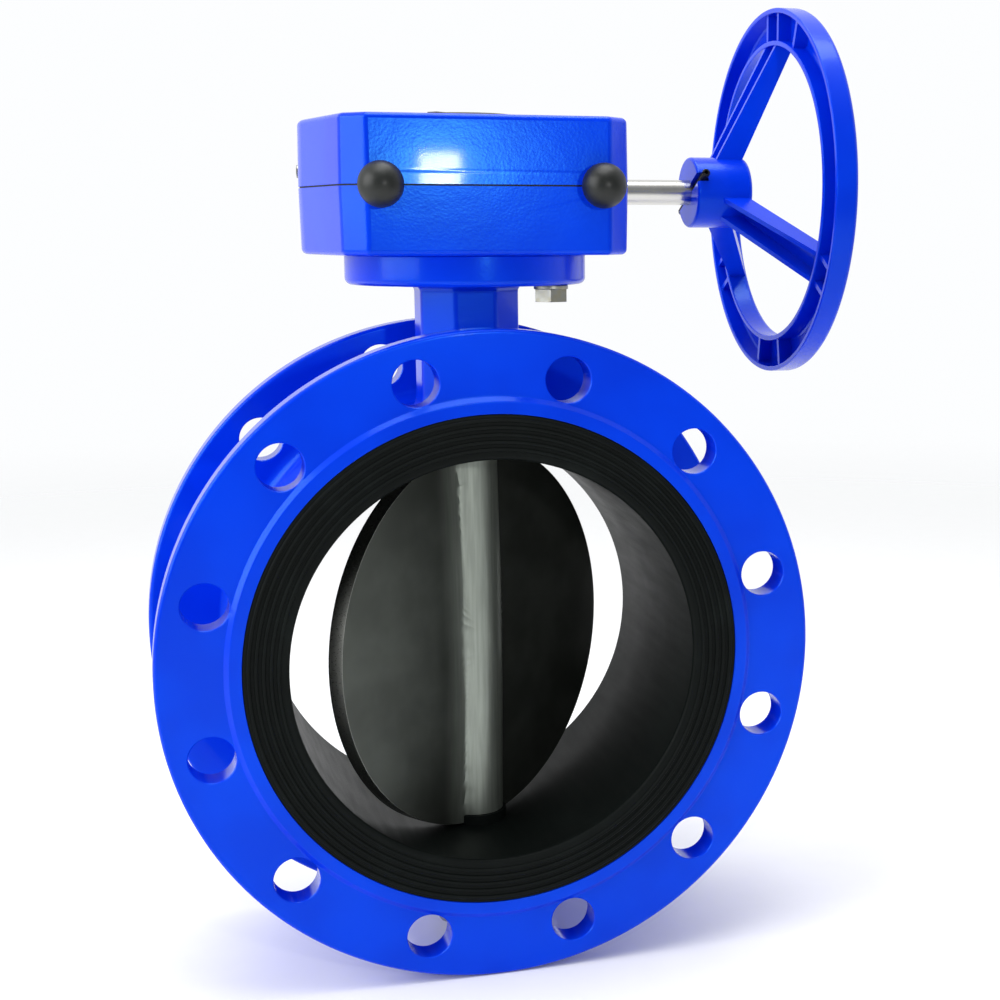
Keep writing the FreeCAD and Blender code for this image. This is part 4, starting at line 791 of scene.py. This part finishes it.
def neck(body):
    """The octagonal column, flared where it meets the barrel and the mounting flange."""
    bm = bmesh.new()
    half = body.neck_flats / 2
    root = body.barrel_r - 11 * MM
    top = MOUNT_FACE_Z - body.mount_t
    foot = [(1 + out / half, body.barrel_r + up) for out, up in quarter(body.neck_fillet)]
    head = [(1 + out / half, top - up) for out, up in reversed(quarter(body.neck_fillet * 0.6))]
    start = foot[0][0]
    corner_r = half / math.cos(math.pi / 8) * start
    base = STEM_CENTRE + Z_AXIS * root
    edges = circle_edges(bm, corner_r, base, Z_AXIS, 8)
    turn_about(bm, base, Z_AXIS, 22.5)
    stations = [(scale / start, height) for scale, height in foot + head + [(head[-1][0], top + 4 * MM)]]
    flared(bm, edges, base, stations)
    bmesh.ops.holes_fill(bm, edges=bm.edges, sides=8)
    tidy(bm)
    upright = [edge for edge in bm.edges
               if abs(edge.verts[0].co.z - edge.verts[1].co.z) > 0.1 * MM and edge.calc_face_angle() > 0.3]
    bmesh.ops.bevel(bm, geom=upright, offset=body.neck_corner, affect="EDGES", segments=3,
                    profile=0.5, material=-1)
    saddle(bm, body, 1, root + MM)
    bmesh.ops.triangulate(bm, faces=bm.faces)
    return tidy(bm)


def mounting_flange(body):
    under = MOUNT_FACE_Z - body.mount_t
    corners = [(0.0, under), (body.mount_r, under, 4 * MM), (body.mount_r, MOUNT_FACE_Z, 1.2 * MM),
               (0.0, MOUNT_FACE_Z)]
    return turned_piece(corners, STEM_CENTRE, Z_AXIS, closed=False, segments=128)


def bottom_boss(body):
    """The boss under the barrel that holds the lower stem, flared into the barrel."""
    radius = body.neck_flats / 2
    flare = [(radius + out, -body.barrel_r - up) for out, up in quarter(body.neck_fillet)]
    corners = [(0.0, -body.boss_bottom), (radius, -body.boss_bottom, 1.5 * MM)]
    inside = -body.barrel_r + 12 * MM
    corners += list(reversed(flare)) + [(flare[0][0], inside), (0.0, inside)]
    bm = turned_piece(corners, STEM_CENTRE, Z_AXIS, closed=False, segments=96)
    saddle(bm, body, -1, 0.0)
    return bm


def mount_places(body):
    """The four bolts of the mounting flange; the first is the front right one, with the hex bolt."""
    reach = body.mount_circle_r * math.sin(math.radians(45))
    corners = ((1, -1), (-1, -1), (-1, 1), (1, 1))
    return [STEM_CENTRE + Vector((x * reach, y * reach, 0)) for x, y in corners]


def stem_bore(radius, start_z, end_z, segments=48):
    start, end = STEM_CENTRE + Z_AXIS * start_z, STEM_CENTRE + Z_AXIS * end_z
    return "DIFFERENCE", rod(radius, start, end, segments)


def bush_radius():
    """The bore in the casting that the stem bushes are pressed into."""
    return (high("upper_stem_bush").x - low("upper_stem_bush").x) / 2 + 0.02 * MM


def barrel_bores(body):
    """The stem's way through the barrel, and the thread of the bottom plug."""
    return [stem_bore(bush_radius(), body.bore_r - 20 * MM, body.barrel_r + 20 * MM),
            stem_bore(bush_radius(), -body.boss_bottom - MM, -body.bore_r + 20 * MM),
            stem_bore(PLUG_THREAD_R, -body.boss_bottom - 2 * MM, high("bottom_plug").z, segments=64)]


def stepped_drill(centre, steps, start):
    """A cutter turned to steps of (radius, height where that radius ends), from start up."""
    outline = [(0.0, start)]
    for radius, end in steps:
        outline += [(radius, outline[-1][1]), (radius, end)]
    outline.append((0.0, outline[-1][1]))
    foot = Vector((centre.x, centre.y, 0))
    return "DIFFERENCE", turned_piece(outline, foot, Z_AXIS, closed=False, segments=64)


def neck_bores(body):
    """What is bored out of the neck and the mounting flange."""
    washer_low, washer_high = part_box("thrust_washer")
    washer_r = (washer_high.x - washer_low.x) / 2 + 0.3 * MM
    under = MOUNT_FACE_Z - body.mount_t
    above = MOUNT_FACE_Z + MM
    stem_steps = [(bush_radius(), washer_low.z), (washer_r, MOUNT_FACE_Z - SPIGOT_RECESS_DEPTH),
                  (SPIGOT_RECESS_R, above)]
    bores = [stepped_drill(STEM_CENTRE, stem_steps, body.bore_r)]
    for i, place in enumerate(mount_places(body)):
        sunk = [] if i == 0 else [(COUNTERBORE_R, under + COUNTERBORE_DEPTH)]
        bores.append(stepped_drill(place, sunk + [(MOUNT_HOLE_R, above)], under - MM))
    return bores


class VALVE_OT_body(bpy.types.Operator):
    """Build the cast body: flanges, barrel, neck, mounting flange and bottom boss"""

    bl_idname = "valve.body"
    bl_label = "Body casting"

    def execute(self, context):
        finishes(context.scene)
        body = context.scene.valve_body
        near, far = body.raised_h, body.flange_t
        parts = [("DIFFERENCE", flange_drills(body, near, far)),
                 ("DIFFERENCE", flange_drills(body, FACE_TO_FACE - far, FACE_TO_FACE - near)),
                 ("UNION", bottom_boss(body))] + barrel_bores(body)
        finished("body_casting", combined(spool(body), parts), "root", "blue_paint", ["valve_body"])
        parts = [("UNION", mounting_flange(body))] + neck_bores(body)
        finished("neck_casting", combined(neck(body), parts), "root", "blue_paint", ["valve_body"])
        return {"FINISHED"}


# ---------------------------------------------------------------- liner

def liner_outline(liner):
    """The liner's section: two ridged lips joined by the sleeve."""
    gap = (liner.lip_r - liner.bore_r - 3 * MM - 2 * liner.ridge_r) / liner.ridges
    first = liner.bore_r + 3 * MM + gap / 2 + liner.ridge_r
    ridge_steps = 8
    front = [(liner.bore_r, 0.0, 3 * MM)]
    for i in range(liner.ridges):
        middle = first + gap * i
        angles = [math.pi * (1 - k / ridge_steps) for k in range(ridge_steps + 1)]
        front += [(middle + liner.ridge_r * math.cos(a), -liner.ridge_r * math.sin(a)) for a in angles]
    front += [(liner.lip_r, 0.0, 1 * MM), (liner.lip_r, liner.lip_t),
              (liner.bore_r + liner.wall, liner.lip_t)]
    mirrored = [(corner[0], FACE_TO_FACE - corner[1]) + tuple(corner[2:]) for corner in reversed(front)]
    return front + mirrored


class VALVE_OT_liner(bpy.types.Operator):
    """Build the rubber liner with its ridged lips"""

    bl_idname = "valve.liner"
    bl_label = "Rubber liner"

    def execute(self, context):
        finishes(context.scene)
        liner = context.scene.valve_liner
        sleeve = turned_piece(liner_outline(liner), Vector(), Y_AXIS, segments=192)
        stem_low, stem_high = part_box("lower_stem")
        hole_r = (stem_high.x - stem_low.x) / 2 + 0.3 * MM
        hole = rod(hole_r, STEM_CENTRE - Z_AXIS * 0.2, STEM_CENTRE + Z_AXIS * 0.2)
        disc = context.scene.valve_disc
        pads = hub_seats(disc.seat_r - 0.3 * MM, disc.seat_z + 0.3 * MM, 10 * MM)
        bm = combined(sleeve, [("UNION", pad) for pad in pads] + [("DIFFERENCE", hole)])
        finished("liner_sleeve", bm, "root", "liner_rubber", ["rubber_liner"], sharp_deg=50.0)
        return {"FINISHED"}


# ---------------------------------------------------------------- disc

def hub_seats(radius, start, reach):
    """Short bars round the stem, above and below, where the boss ends flat on the liner's pads."""
    return [rod(radius, STEM_CENTRE + Z_AXIS * start * side, STEM_CENTRE + Z_AXIS * (start + reach) * side,
                96) for side in (1, -1)]


def disc_half_thickness(disc, across, radius):
    """Half the disc's thickness: the tapered plate blended into the round boss along the stem."""
    taper = min(1.0, max(0.0, (radius - disc.flat_r) / (disc.radius - disc.flat_r)))
    plate = (disc.centre_t + (disc.edge_t - disc.centre_t) * taper) / 2
    boss = math.sqrt(max(0.0, disc.boss_r**2 - across**2))
    overlap = max(0.0, 1 - abs(plate - boss) / disc.blend)
    return max(plate, boss) + overlap**2 * disc.blend / 4


def disc_shell(disc):
    """A turned blank, moved point by point into the plate with its boss and its spherical edge."""
    rings = [disc.radius * math.sin(math.pi / 2 * k / 56) for k in range(57)]
    edge_rows = 4
    outline = [(r, -1.0) for r in rings]
    outline += [(disc.radius, -1.0 + 2.0 * k / edge_rows) for k in range(1, edge_rows)]
    outline += [(r, 1.0) for r in reversed(rings)]
    bm = turned_piece(outline, Vector(), Y_AXIS, closed=False, segments=256)
    for vert in bm.verts:
        radius = math.hypot(vert.co.x, vert.co.z)
        if radius < 1e-9:
            vert.co.y *= disc_half_thickness(disc, 0.0, 0.0)
            continue
        lean = vert.co.x / radius
        edge = disc.radius
        for _ in range(12):
            edge = math.sqrt(disc.radius**2 - disc_half_thickness(disc, lean * edge, edge)**2)
        reach = radius / disc.radius * edge
        half = disc_half_thickness(disc, lean * reach, reach)
        thickness = vert.co.y * half
        if abs(vert.co.y) < 0.999:
            reach = math.sqrt(disc.radius**2 - thickness**2)
        scale = reach / radius
        vert.co = Vector((vert.co.x * scale, thickness, vert.co.z * scale))
    bmesh.ops.recalc_face_normals(bm, faces=bm.faces)
    return bm


class VALVE_OT_disc(bpy.types.Operator):
    """Build the disc: a tapered plate with a boss along the stem and a machined edge"""

    bl_idname = "valve.disc"
    bl_label = "Disc"

    def execute(self, context):
        finishes(context.scene)
        disc = context.scene.valve_disc
        bm = disc_shell(disc)
        for face in bm.faces:
            middle = face.calc_center_median()
            on_sphere = middle.length > disc.radius - 0.25 * MM
            face.material_index = 1 if on_sphere else 0
        turn_about(bm, Vector(), Z_AXIS, disc.open_deg)
        bmesh.ops.translate(bm, vec=STEM_CENTRE, verts=bm.verts)
        bm = combined(bm, [("DIFFERENCE", seat) for seat in hub_seats(disc.seat_r, disc.seat_z, 20 * MM)])
        finished("disc_plate", bm, "disc_assembly", "disc_metal", ["valve_disc"], sharp_deg=40.0,
                 materials=["disc_coating", "disc_edge"])
        return {"FINISHED"}


# ---------------------------------------------------------------- gearbox

def softened(node, name, body, slot):
    """A CAD node's shape as one smooth skin."""
    bm = merged_copy(node)
    bmesh.ops.dissolve_limit(bm, angle_limit=math.radians(0.4), verts=bm.verts, edges=bm.edges)
    return finished(name, bm, body, slot, [node], sharp_deg=30.0)


class VALVE_OT_gearbox(bpy.types.Operator):
    """Build the two gearbox castings and the gasket between them"""

    bl_idname = "valve.gearbox"
    bl_label = "Gearbox housing"

    def execute(self, context):
        finishes(context.scene)
        softened("gearbox_lower_housing", "gearbox_base", "root", "blue_paint")
        softened("gearbox_cover", "gearbox_lid", "root", "blue_paint")
        softened("gearbox_gasket", "gearbox_joint", "root", "gasket_fibre")
        return {"FINISHED"}


# ---------------------------------------------------------------- small hardware

def cap_outline(cap_r, opening, pocket_r, pocket_depth):
    """A ball cut off flat where it meets the housing, with a pocket for the nut."""
    end = math.asin(opening / cap_r)
    start = -math.pi / 2
    count = 20
    skin = [start + (end - start) * i / count for i in range(count + 1)]
    outline = [(cap_r * math.cos(a), cap_r * math.sin(a)) for a in skin]
    outline[0] = (0.0, -cap_r)
    floor = opening - pocket_depth
    return outline + [(pocket_r, opening, 0.4 * MM), (pocket_r, floor), (0.0, floor)]


class VALVE_OT_caps(bpy.types.Operator):
    """Build the rubber balls over the stop screws"""

    bl_idname = "valve.caps"
    bl_label = "Rubber caps"

    def execute(self, context):
        finishes(context.scene)
        cap_r = context.scene.valve_hardware.cap_r
        caps_low, caps_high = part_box("stop_screw_caps")
        opening = caps_high.y - caps_low.y - cap_r
        bm = bmesh.new()
        for x in (caps_low.x + cap_r, caps_high.x - cap_r):
            centre = Vector((x, caps_low.y + cap_r, SEAM_Z))
            outline = cap_outline(cap_r, opening, CAP_POCKET_R, CAP_POCKET_DEPTH)
            spin_into(bm, outline, centre, Y_AXIS, False, 64)
        finished("rubber_caps", tidy(bm), "root", "cap_rubber", ["stop_screw_caps"], sharp_deg=45.0)
        return {"FINISHED"}


class VALVE_OT_bolt(bpy.types.Operator):
    """Build the hex bolt and washer under the mounting flange"""

    bl_idname = "valve.bolt"
    bl_label = "Mounting bolt"

    def execute(self, context):
        finishes(context.scene)
        hardware = context.scene.valve_hardware
        bolt_low, bolt_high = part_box("mount_hex_bolt")
        washer_low, washer_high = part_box("mount_bolt_washer")
        centre = Vector(((washer_low.x + washer_high.x) / 2, (washer_low.y + washer_high.y) / 2, 0))
        head_h = washer_low.z - bolt_low.z
        bm = bmesh.new()
        corner_r = hardware.bolt_flats / math.sqrt(3)
        base = centre + Z_AXIS * bolt_low.z
        place = Matrix.Translation(base + Z_AXIS * head_h / 2)
        bmesh.ops.create_cone(bm, cap_ends=True, segments=6, radius1=corner_r, radius2=corner_r, depth=head_h,
                              matrix=place @ Matrix.Rotation(math.radians(hardware.bolt_deg), 4, "Z"))
        turning_r = corner_r - 0.9 * MM
        blank = [(0.0, 0.0), (turning_r, 0.0), (corner_r + MM, 1.1 * MM), (corner_r + MM, head_h + MM),
                 (0.0, head_h + MM)]
        turned = turned_piece(blank, base, Z_AXIS, closed=False, segments=96)
        shank = rod(hardware.bolt_r, base + Z_AXIS * (head_h - MM), centre + Z_AXIS * bolt_high.z)
        bm = combined(bm, [("INTERSECT", turned), ("UNION", shank)])
        finished("hex_bolt", bm, "root", "zinc_steel", ["mount_hex_bolt"], bevel=0.25 * MM)
        outer = (washer_high.x - washer_low.x) / 2
        inner = hardware.bolt_r + 0.3 * MM
        corners = [(inner, washer_low.z), (outer, washer_low.z, 0.6 * MM), (outer, washer_high.z, 0.6 * MM),
                   (inner, washer_high.z)]
        washer = turned_piece(corners, centre, Z_AXIS, segments=64)
        finished("bolt_washer", washer, "root", "zinc_steel", ["mount_bolt_washer"])
        return {"FINISHED"}


class VALVE_OT_shaft(bpy.types.Operator):
    """Build the worm shaft and the roll pin through it"""

    bl_idname = "valve.shaft"
    bl_label = "Worm shaft"

    def execute(self, context):
        finishes(context.scene)
        softened("worm_shaft", "worm_and_shaft", "worm_assembly", "shaft_steel")
        hardware = context.scene.valve_hardware
        hub_x = low("handwheel").x
        centre = Vector((hub_x + hardware.pin_inset, SHAFT_CENTRE.y, SHAFT_CENTRE.z))
        half = hardware.pin_l / 2
        bore = hardware.pin_r * 0.5
        corners = [(bore, -half), (hardware.pin_r, -half, 0.6 * MM), (hardware.pin_r, half, 0.6 * MM),
                   (bore, half)]
        pin = turned_piece(corners, centre, Z_AXIS, segments=40)
        slit = bar(centre.x - hardware.pin_r - MM, centre.x, centre.y - 0.4 * MM, centre.y + 0.4 * MM,
                   centre.z - half - MM, centre.z + half + MM)
        pin = turn_about(combined(pin, [("DIFFERENCE", slit)]), centre, X_AXIS, hardware.pin_deg)
        finished("roll_pin", pin, "worm_assembly", "spring_steel", ["handwheel_pin"])
        return {"FINISHED"}


# ---------------------------------------------------------------- handwheel

def wheel_point(along_x, y, z):
    return Vector((along_x, SHAFT_CENTRE.y + y, SHAFT_CENTRE.z + z))


def wheel_rim(wheel, rim_x):
    inner = wheel.radius - wheel.rim_w
    back = rim_x + wheel.rim_depth
    floor = back - wheel.floor
    corners = [
        (inner, rim_x, 0.9 * MM), (inner + wheel.wall, rim_x, 0.9 * MM), (inner + wheel.wall, floor, 2 * MM),
        (wheel.radius - wheel.wall, floor, 2 * MM), (wheel.radius - wheel.wall, rim_x, 0.9 * MM),
        (wheel.radius, rim_x, 0.9 * MM), (wheel.radius, back, 3.5 * MM), (inner, back, 3.5 * MM)]
    return turned_piece(corners, SHAFT_LINE, X_AXIS, segments=wheel.segments)


def spoke_solid(wheel, rim_x, start_r, end_r, sink, wall):
    """One spoke, or with sink and wall the pocket in its open side: a leaning, tapering bar."""
    hub_x = low("handwheel").x + wheel.spoke_drop
    slope = (rim_x + 1 * MM - hub_x) / (wheel.radius - wheel.rim_w - wheel.hub_r)
    bm = bmesh.new()
    loops = []
    for r, depth, width in ((start_r, wheel.spoke_hub_depth, wheel.spoke_hub_w),
                            (end_r, wheel.spoke_rim_depth, wheel.spoke_rim_w)):
        near = hub_x + slope * (r - wheel.hub_r)
        far = near + depth - sink
        if sink > 0:
            near -= 20 * MM
        half = width / 2 - wall
        section = ((near, -half), (far, -half), (far, half), (near, half))
        loops.append([bm.verts.new(wheel_point(x, y, r)) for x, y in section])
    for loop in loops:
        bm.faces.new(loop)
    bmesh.ops.bridge_loops(bm, edges=bm.edges)
    return tidy(bm)


def spoke(wheel, rim_x):
    hub_r = wheel.hub_r - 4 * MM
    rim_r = wheel.radius - wheel.rim_w + wheel.wall / 2
    outer = spoke_solid(wheel, rim_x, hub_r, rim_r, 0.0, 0.0)
    pocket = spoke_solid(wheel, rim_x, hub_r - MM, rim_r + MM, wheel.spoke_wall, wheel.spoke_wall)
    return combined(outer, [("DIFFERENCE", pocket)])


def rim_rib(wheel, rim_x, offset):
    inner = wheel.radius - wheel.rim_w + wheel.wall / 2
    outer = wheel.radius - wheel.wall / 2
    start = rim_x + 2.5 * MM
    end = rim_x + wheel.rim_depth - wheel.floor / 2
    middle = SHAFT_CENTRE.y + offset
    half = wheel.spoke_wall / 2
    return bar(start, end, middle - half, middle + half, SHAFT_CENTRE.z + inner, SHAFT_CENTRE.z + outer)


class VALVE_OT_handwheel(bpy.types.Operator):
    """Build the handwheel: hub, channel rim, channel spokes and ribs"""

    bl_idname = "valve.handwheel"
    bl_label = "Handwheel"

    def execute(self, context):
        finishes(context.scene)
        wheel = context.scene.valve_wheel
        hardware = context.scene.valve_hardware
        rim_x = high("handwheel").x - wheel.rim_depth
        hub_x = low("handwheel").x
        hub_end = hub_x + wheel.hub_l
        hub_outline = [(0.0, hub_x), (wheel.hub_r, hub_x, 1.8 * MM), (wheel.hub_r, hub_end, 3 * MM),
                       (0.0, hub_end)]
        hub = turned_piece(hub_outline, SHAFT_LINE, X_AXIS, closed=False, segments=96)
        parts = [("UNION", wheel_rim(wheel, rim_x))]
        step = 360.0 / wheel.spokes
        rib_offset = (wheel.spoke_rim_w - wheel.spoke_wall) / 2
        for i in range(wheel.spokes):
            pieces = [spoke(wheel, rim_x)]
            pieces += [rim_rib(wheel, rim_x, side * rib_offset) for side in (-1, 1)]
            parts += [("UNION", turn_about(piece, SHAFT_LINE, X_AXIS, step * i)) for piece in pieces]
        for degrees in RIM_RIB_DEGS:
            rib = rim_rib(wheel, rim_x, 0.0)
            parts.append(("UNION", turn_about(rib, SHAFT_LINE, X_AXIS, degrees)))
        bore = rod(WHEEL_BORE_R, wheel_point(hub_x - MM, 0, 0), wheel_point(hub_end + MM, 0, 0))
        parts.append(("DIFFERENCE", bore))
        half = hardware.pin_r + 0.4 * MM
        slot = bar(hub_x - MM, hub_x + hardware.pin_inset + half,
                   SHAFT_CENTRE.y - half, SHAFT_CENTRE.y + half,
                   SHAFT_CENTRE.z - 2 * wheel.hub_r, SHAFT_CENTRE.z + 2 * wheel.hub_r)
        parts.append(("DIFFERENCE", turn_about(slot, SHAFT_LINE, X_AXIS, hardware.pin_deg)))
        finished("handwheel_casting", combined(hub, parts), "worm_assembly", "blue_paint", ["handwheel"],
                 bevel=wheel.edge)
        return {"FINISHED"}


# ---------------------------------------------------------------- pieces that keep their CAD shape

class VALVE_OT_inner_parts(bpy.types.Operator):
    """Give every piece that keeps its CAD shape its own finish"""

    bl_idname = "valve.inner_parts"
    bl_label = "Inner parts"

    def execute(self, context):
        finishes(context.scene)
        slots = {part["node"]: part["material_slot"] for part in frame["record"]["subparts"]}
        for name, node in frame["nodes"].items():
            if node.hide_render:
                continue
            material = bpy.data.materials[MATERIAL_OF_SLOT[slots[name]]]
            node.data.materials.clear()
            node.data.materials.append(material)
        return {"FINISHED"}


# ---------------------------------------------------------------- stage

def soft_light(name, at, towards, size, power, tint=(1.0, 1.0, 1.0)):
    data = bpy.data.lights.new(name, "AREA")
    data.shape = "RECTANGLE"
    data.size, data.size_y = size
    data.energy = power
    data.color = tint
    light = bpy.data.objects.new(name, data)
    bpy.context.scene.collection.objects.link(light)
    light.location = at
    light.rotation_euler = (Vector(towards) - Vector(at)).to_track_quat("-Z", "Y").to_euler()


class VALVE_OT_stage(bpy.types.Operator):
    """Lay the pale floor, hang the soft lights and set up the camera"""

    bl_idname = "valve.stage"
    bl_label = "Stage"

    def execute(self, context):
        stage = context.scene.valve_stage
        bm = bmesh.new()
        bmesh.ops.create_grid(bm, x_segments=4, y_segments=4, size=6.0)
        bmesh.ops.translate(bm, vec=(0, 0, CAD_BOX[0].z), verts=bm.verts)
        floor = bpy.data.objects.new("floor", to_mesh(bm, "floor"))
        context.scene.collection.objects.link(floor)
        paper = Shader("floor_paper", Specular_IOR_Level=0.1, Roughness=0.9)
        fibres = paper.noise(paper.place(), 40.0, 2.0)
        pale = tuple(0.97 * value for value in stage.floor_colour)
        paper.feed("Base Color", paper.mix(fibres, stage.floor_colour, pale))
        paper.feed("Alpha", 1.0 - paper.distance().ramp(0.7, 3.0))
        floor.data.materials.append(paper.material)

        world = bpy.data.worlds.new("studio")
        context.scene.world = world
        world.use_nodes = True
        sky = NodeTree(world.node_tree)
        behind = sky.along(Y_AXIS).ramp(-0.85, 0.0)
        tone = sky.mix(behind, stage.front_tone, stage.back_tone)
        world.node_tree.links.new(tone.socket, world.node_tree.nodes["Background"].inputs["Color"])
        target = (0.0, 0.08, 0.12)
        soft_light("left_panel", (-1.5, -0.35, 0.75), target, (1.3, 1.3), 22.0)
        soft_light("top_panel", (0.1, 0.0, 1.7), target, (1.6, 1.0), 20.0)
        soft_light("front_flash", (0.185, -1.20, 0.372), (-0.01, 0.0, 0.30), (0.05, 0.05), 2.6)

        data = bpy.data.cameras.new("camera")
        data.lens = stage.lens
        data.shift_x = stage.shift_x
        data.shift_y = stage.shift_y
        camera = bpy.data.objects.new("camera", data)
        context.scene.collection.objects.link(camera)
        camera.location = stage.camera_at
        camera.rotation_euler = (math.radians(90.0 - stage.pitch), 0.0, math.radians(-stage.yaw))
        context.scene.camera = camera
        context.scene.view_settings.view_transform = "Standard"
        return {"FINISHED"}


# ---------------------------------------------------------------- sidebar and registration

STEPS = (
    VALVE_OT_body,
    VALVE_OT_liner,
    VALVE_OT_disc,
    VALVE_OT_gearbox,
    VALVE_OT_caps,
    VALVE_OT_bolt,
    VALVE_OT_shaft,
    VALVE_OT_handwheel,
    VALVE_OT_inner_parts,
    VALVE_OT_stage,
)


class VALVE_PT_panel(bpy.types.Panel):
    """Lists the valve's sizes, colours and building steps"""

    bl_idname = "VALVE_PT_panel"
    bl_label = "Butterfly valve"
    bl_space_type = "VIEW_3D"
    bl_region_type = "UI"
    bl_category = "Valve"

    def draw(self, context):
        for group_name, group in GROUPS.items():
            column = self.layout.column()
            column.label(text=group.__doc__)
            for name in group.__annotations__:
                column.prop(getattr(context.scene, group_name), name)
        for step in STEPS:
            self.layout.operator(step.bl_idname)


def register():
    for group_name, group in GROUPS.items():
        bpy.utils.register_class(group)
        setattr(bpy.types.Scene, group_name, PointerProperty(type=group))
    for step in STEPS:
        bpy.utils.register_class(step)
    bpy.utils.register_class(VALVE_PT_panel)


def unregister():
    bpy.utils.unregister_class(VALVE_PT_panel)
    for step in reversed(STEPS):
        bpy.utils.unregister_class(step)
    for group_name, group in GROUPS.items():
        delattr(bpy.types.Scene, group_name)
        bpy.utils.unregister_class(group)


def main():
    register()
    for step in STEPS:
        category, name = step.bl_idname.split(".")
        getattr(getattr(bpy.ops, category), name)()


if __name__ == "__main__":
    main()
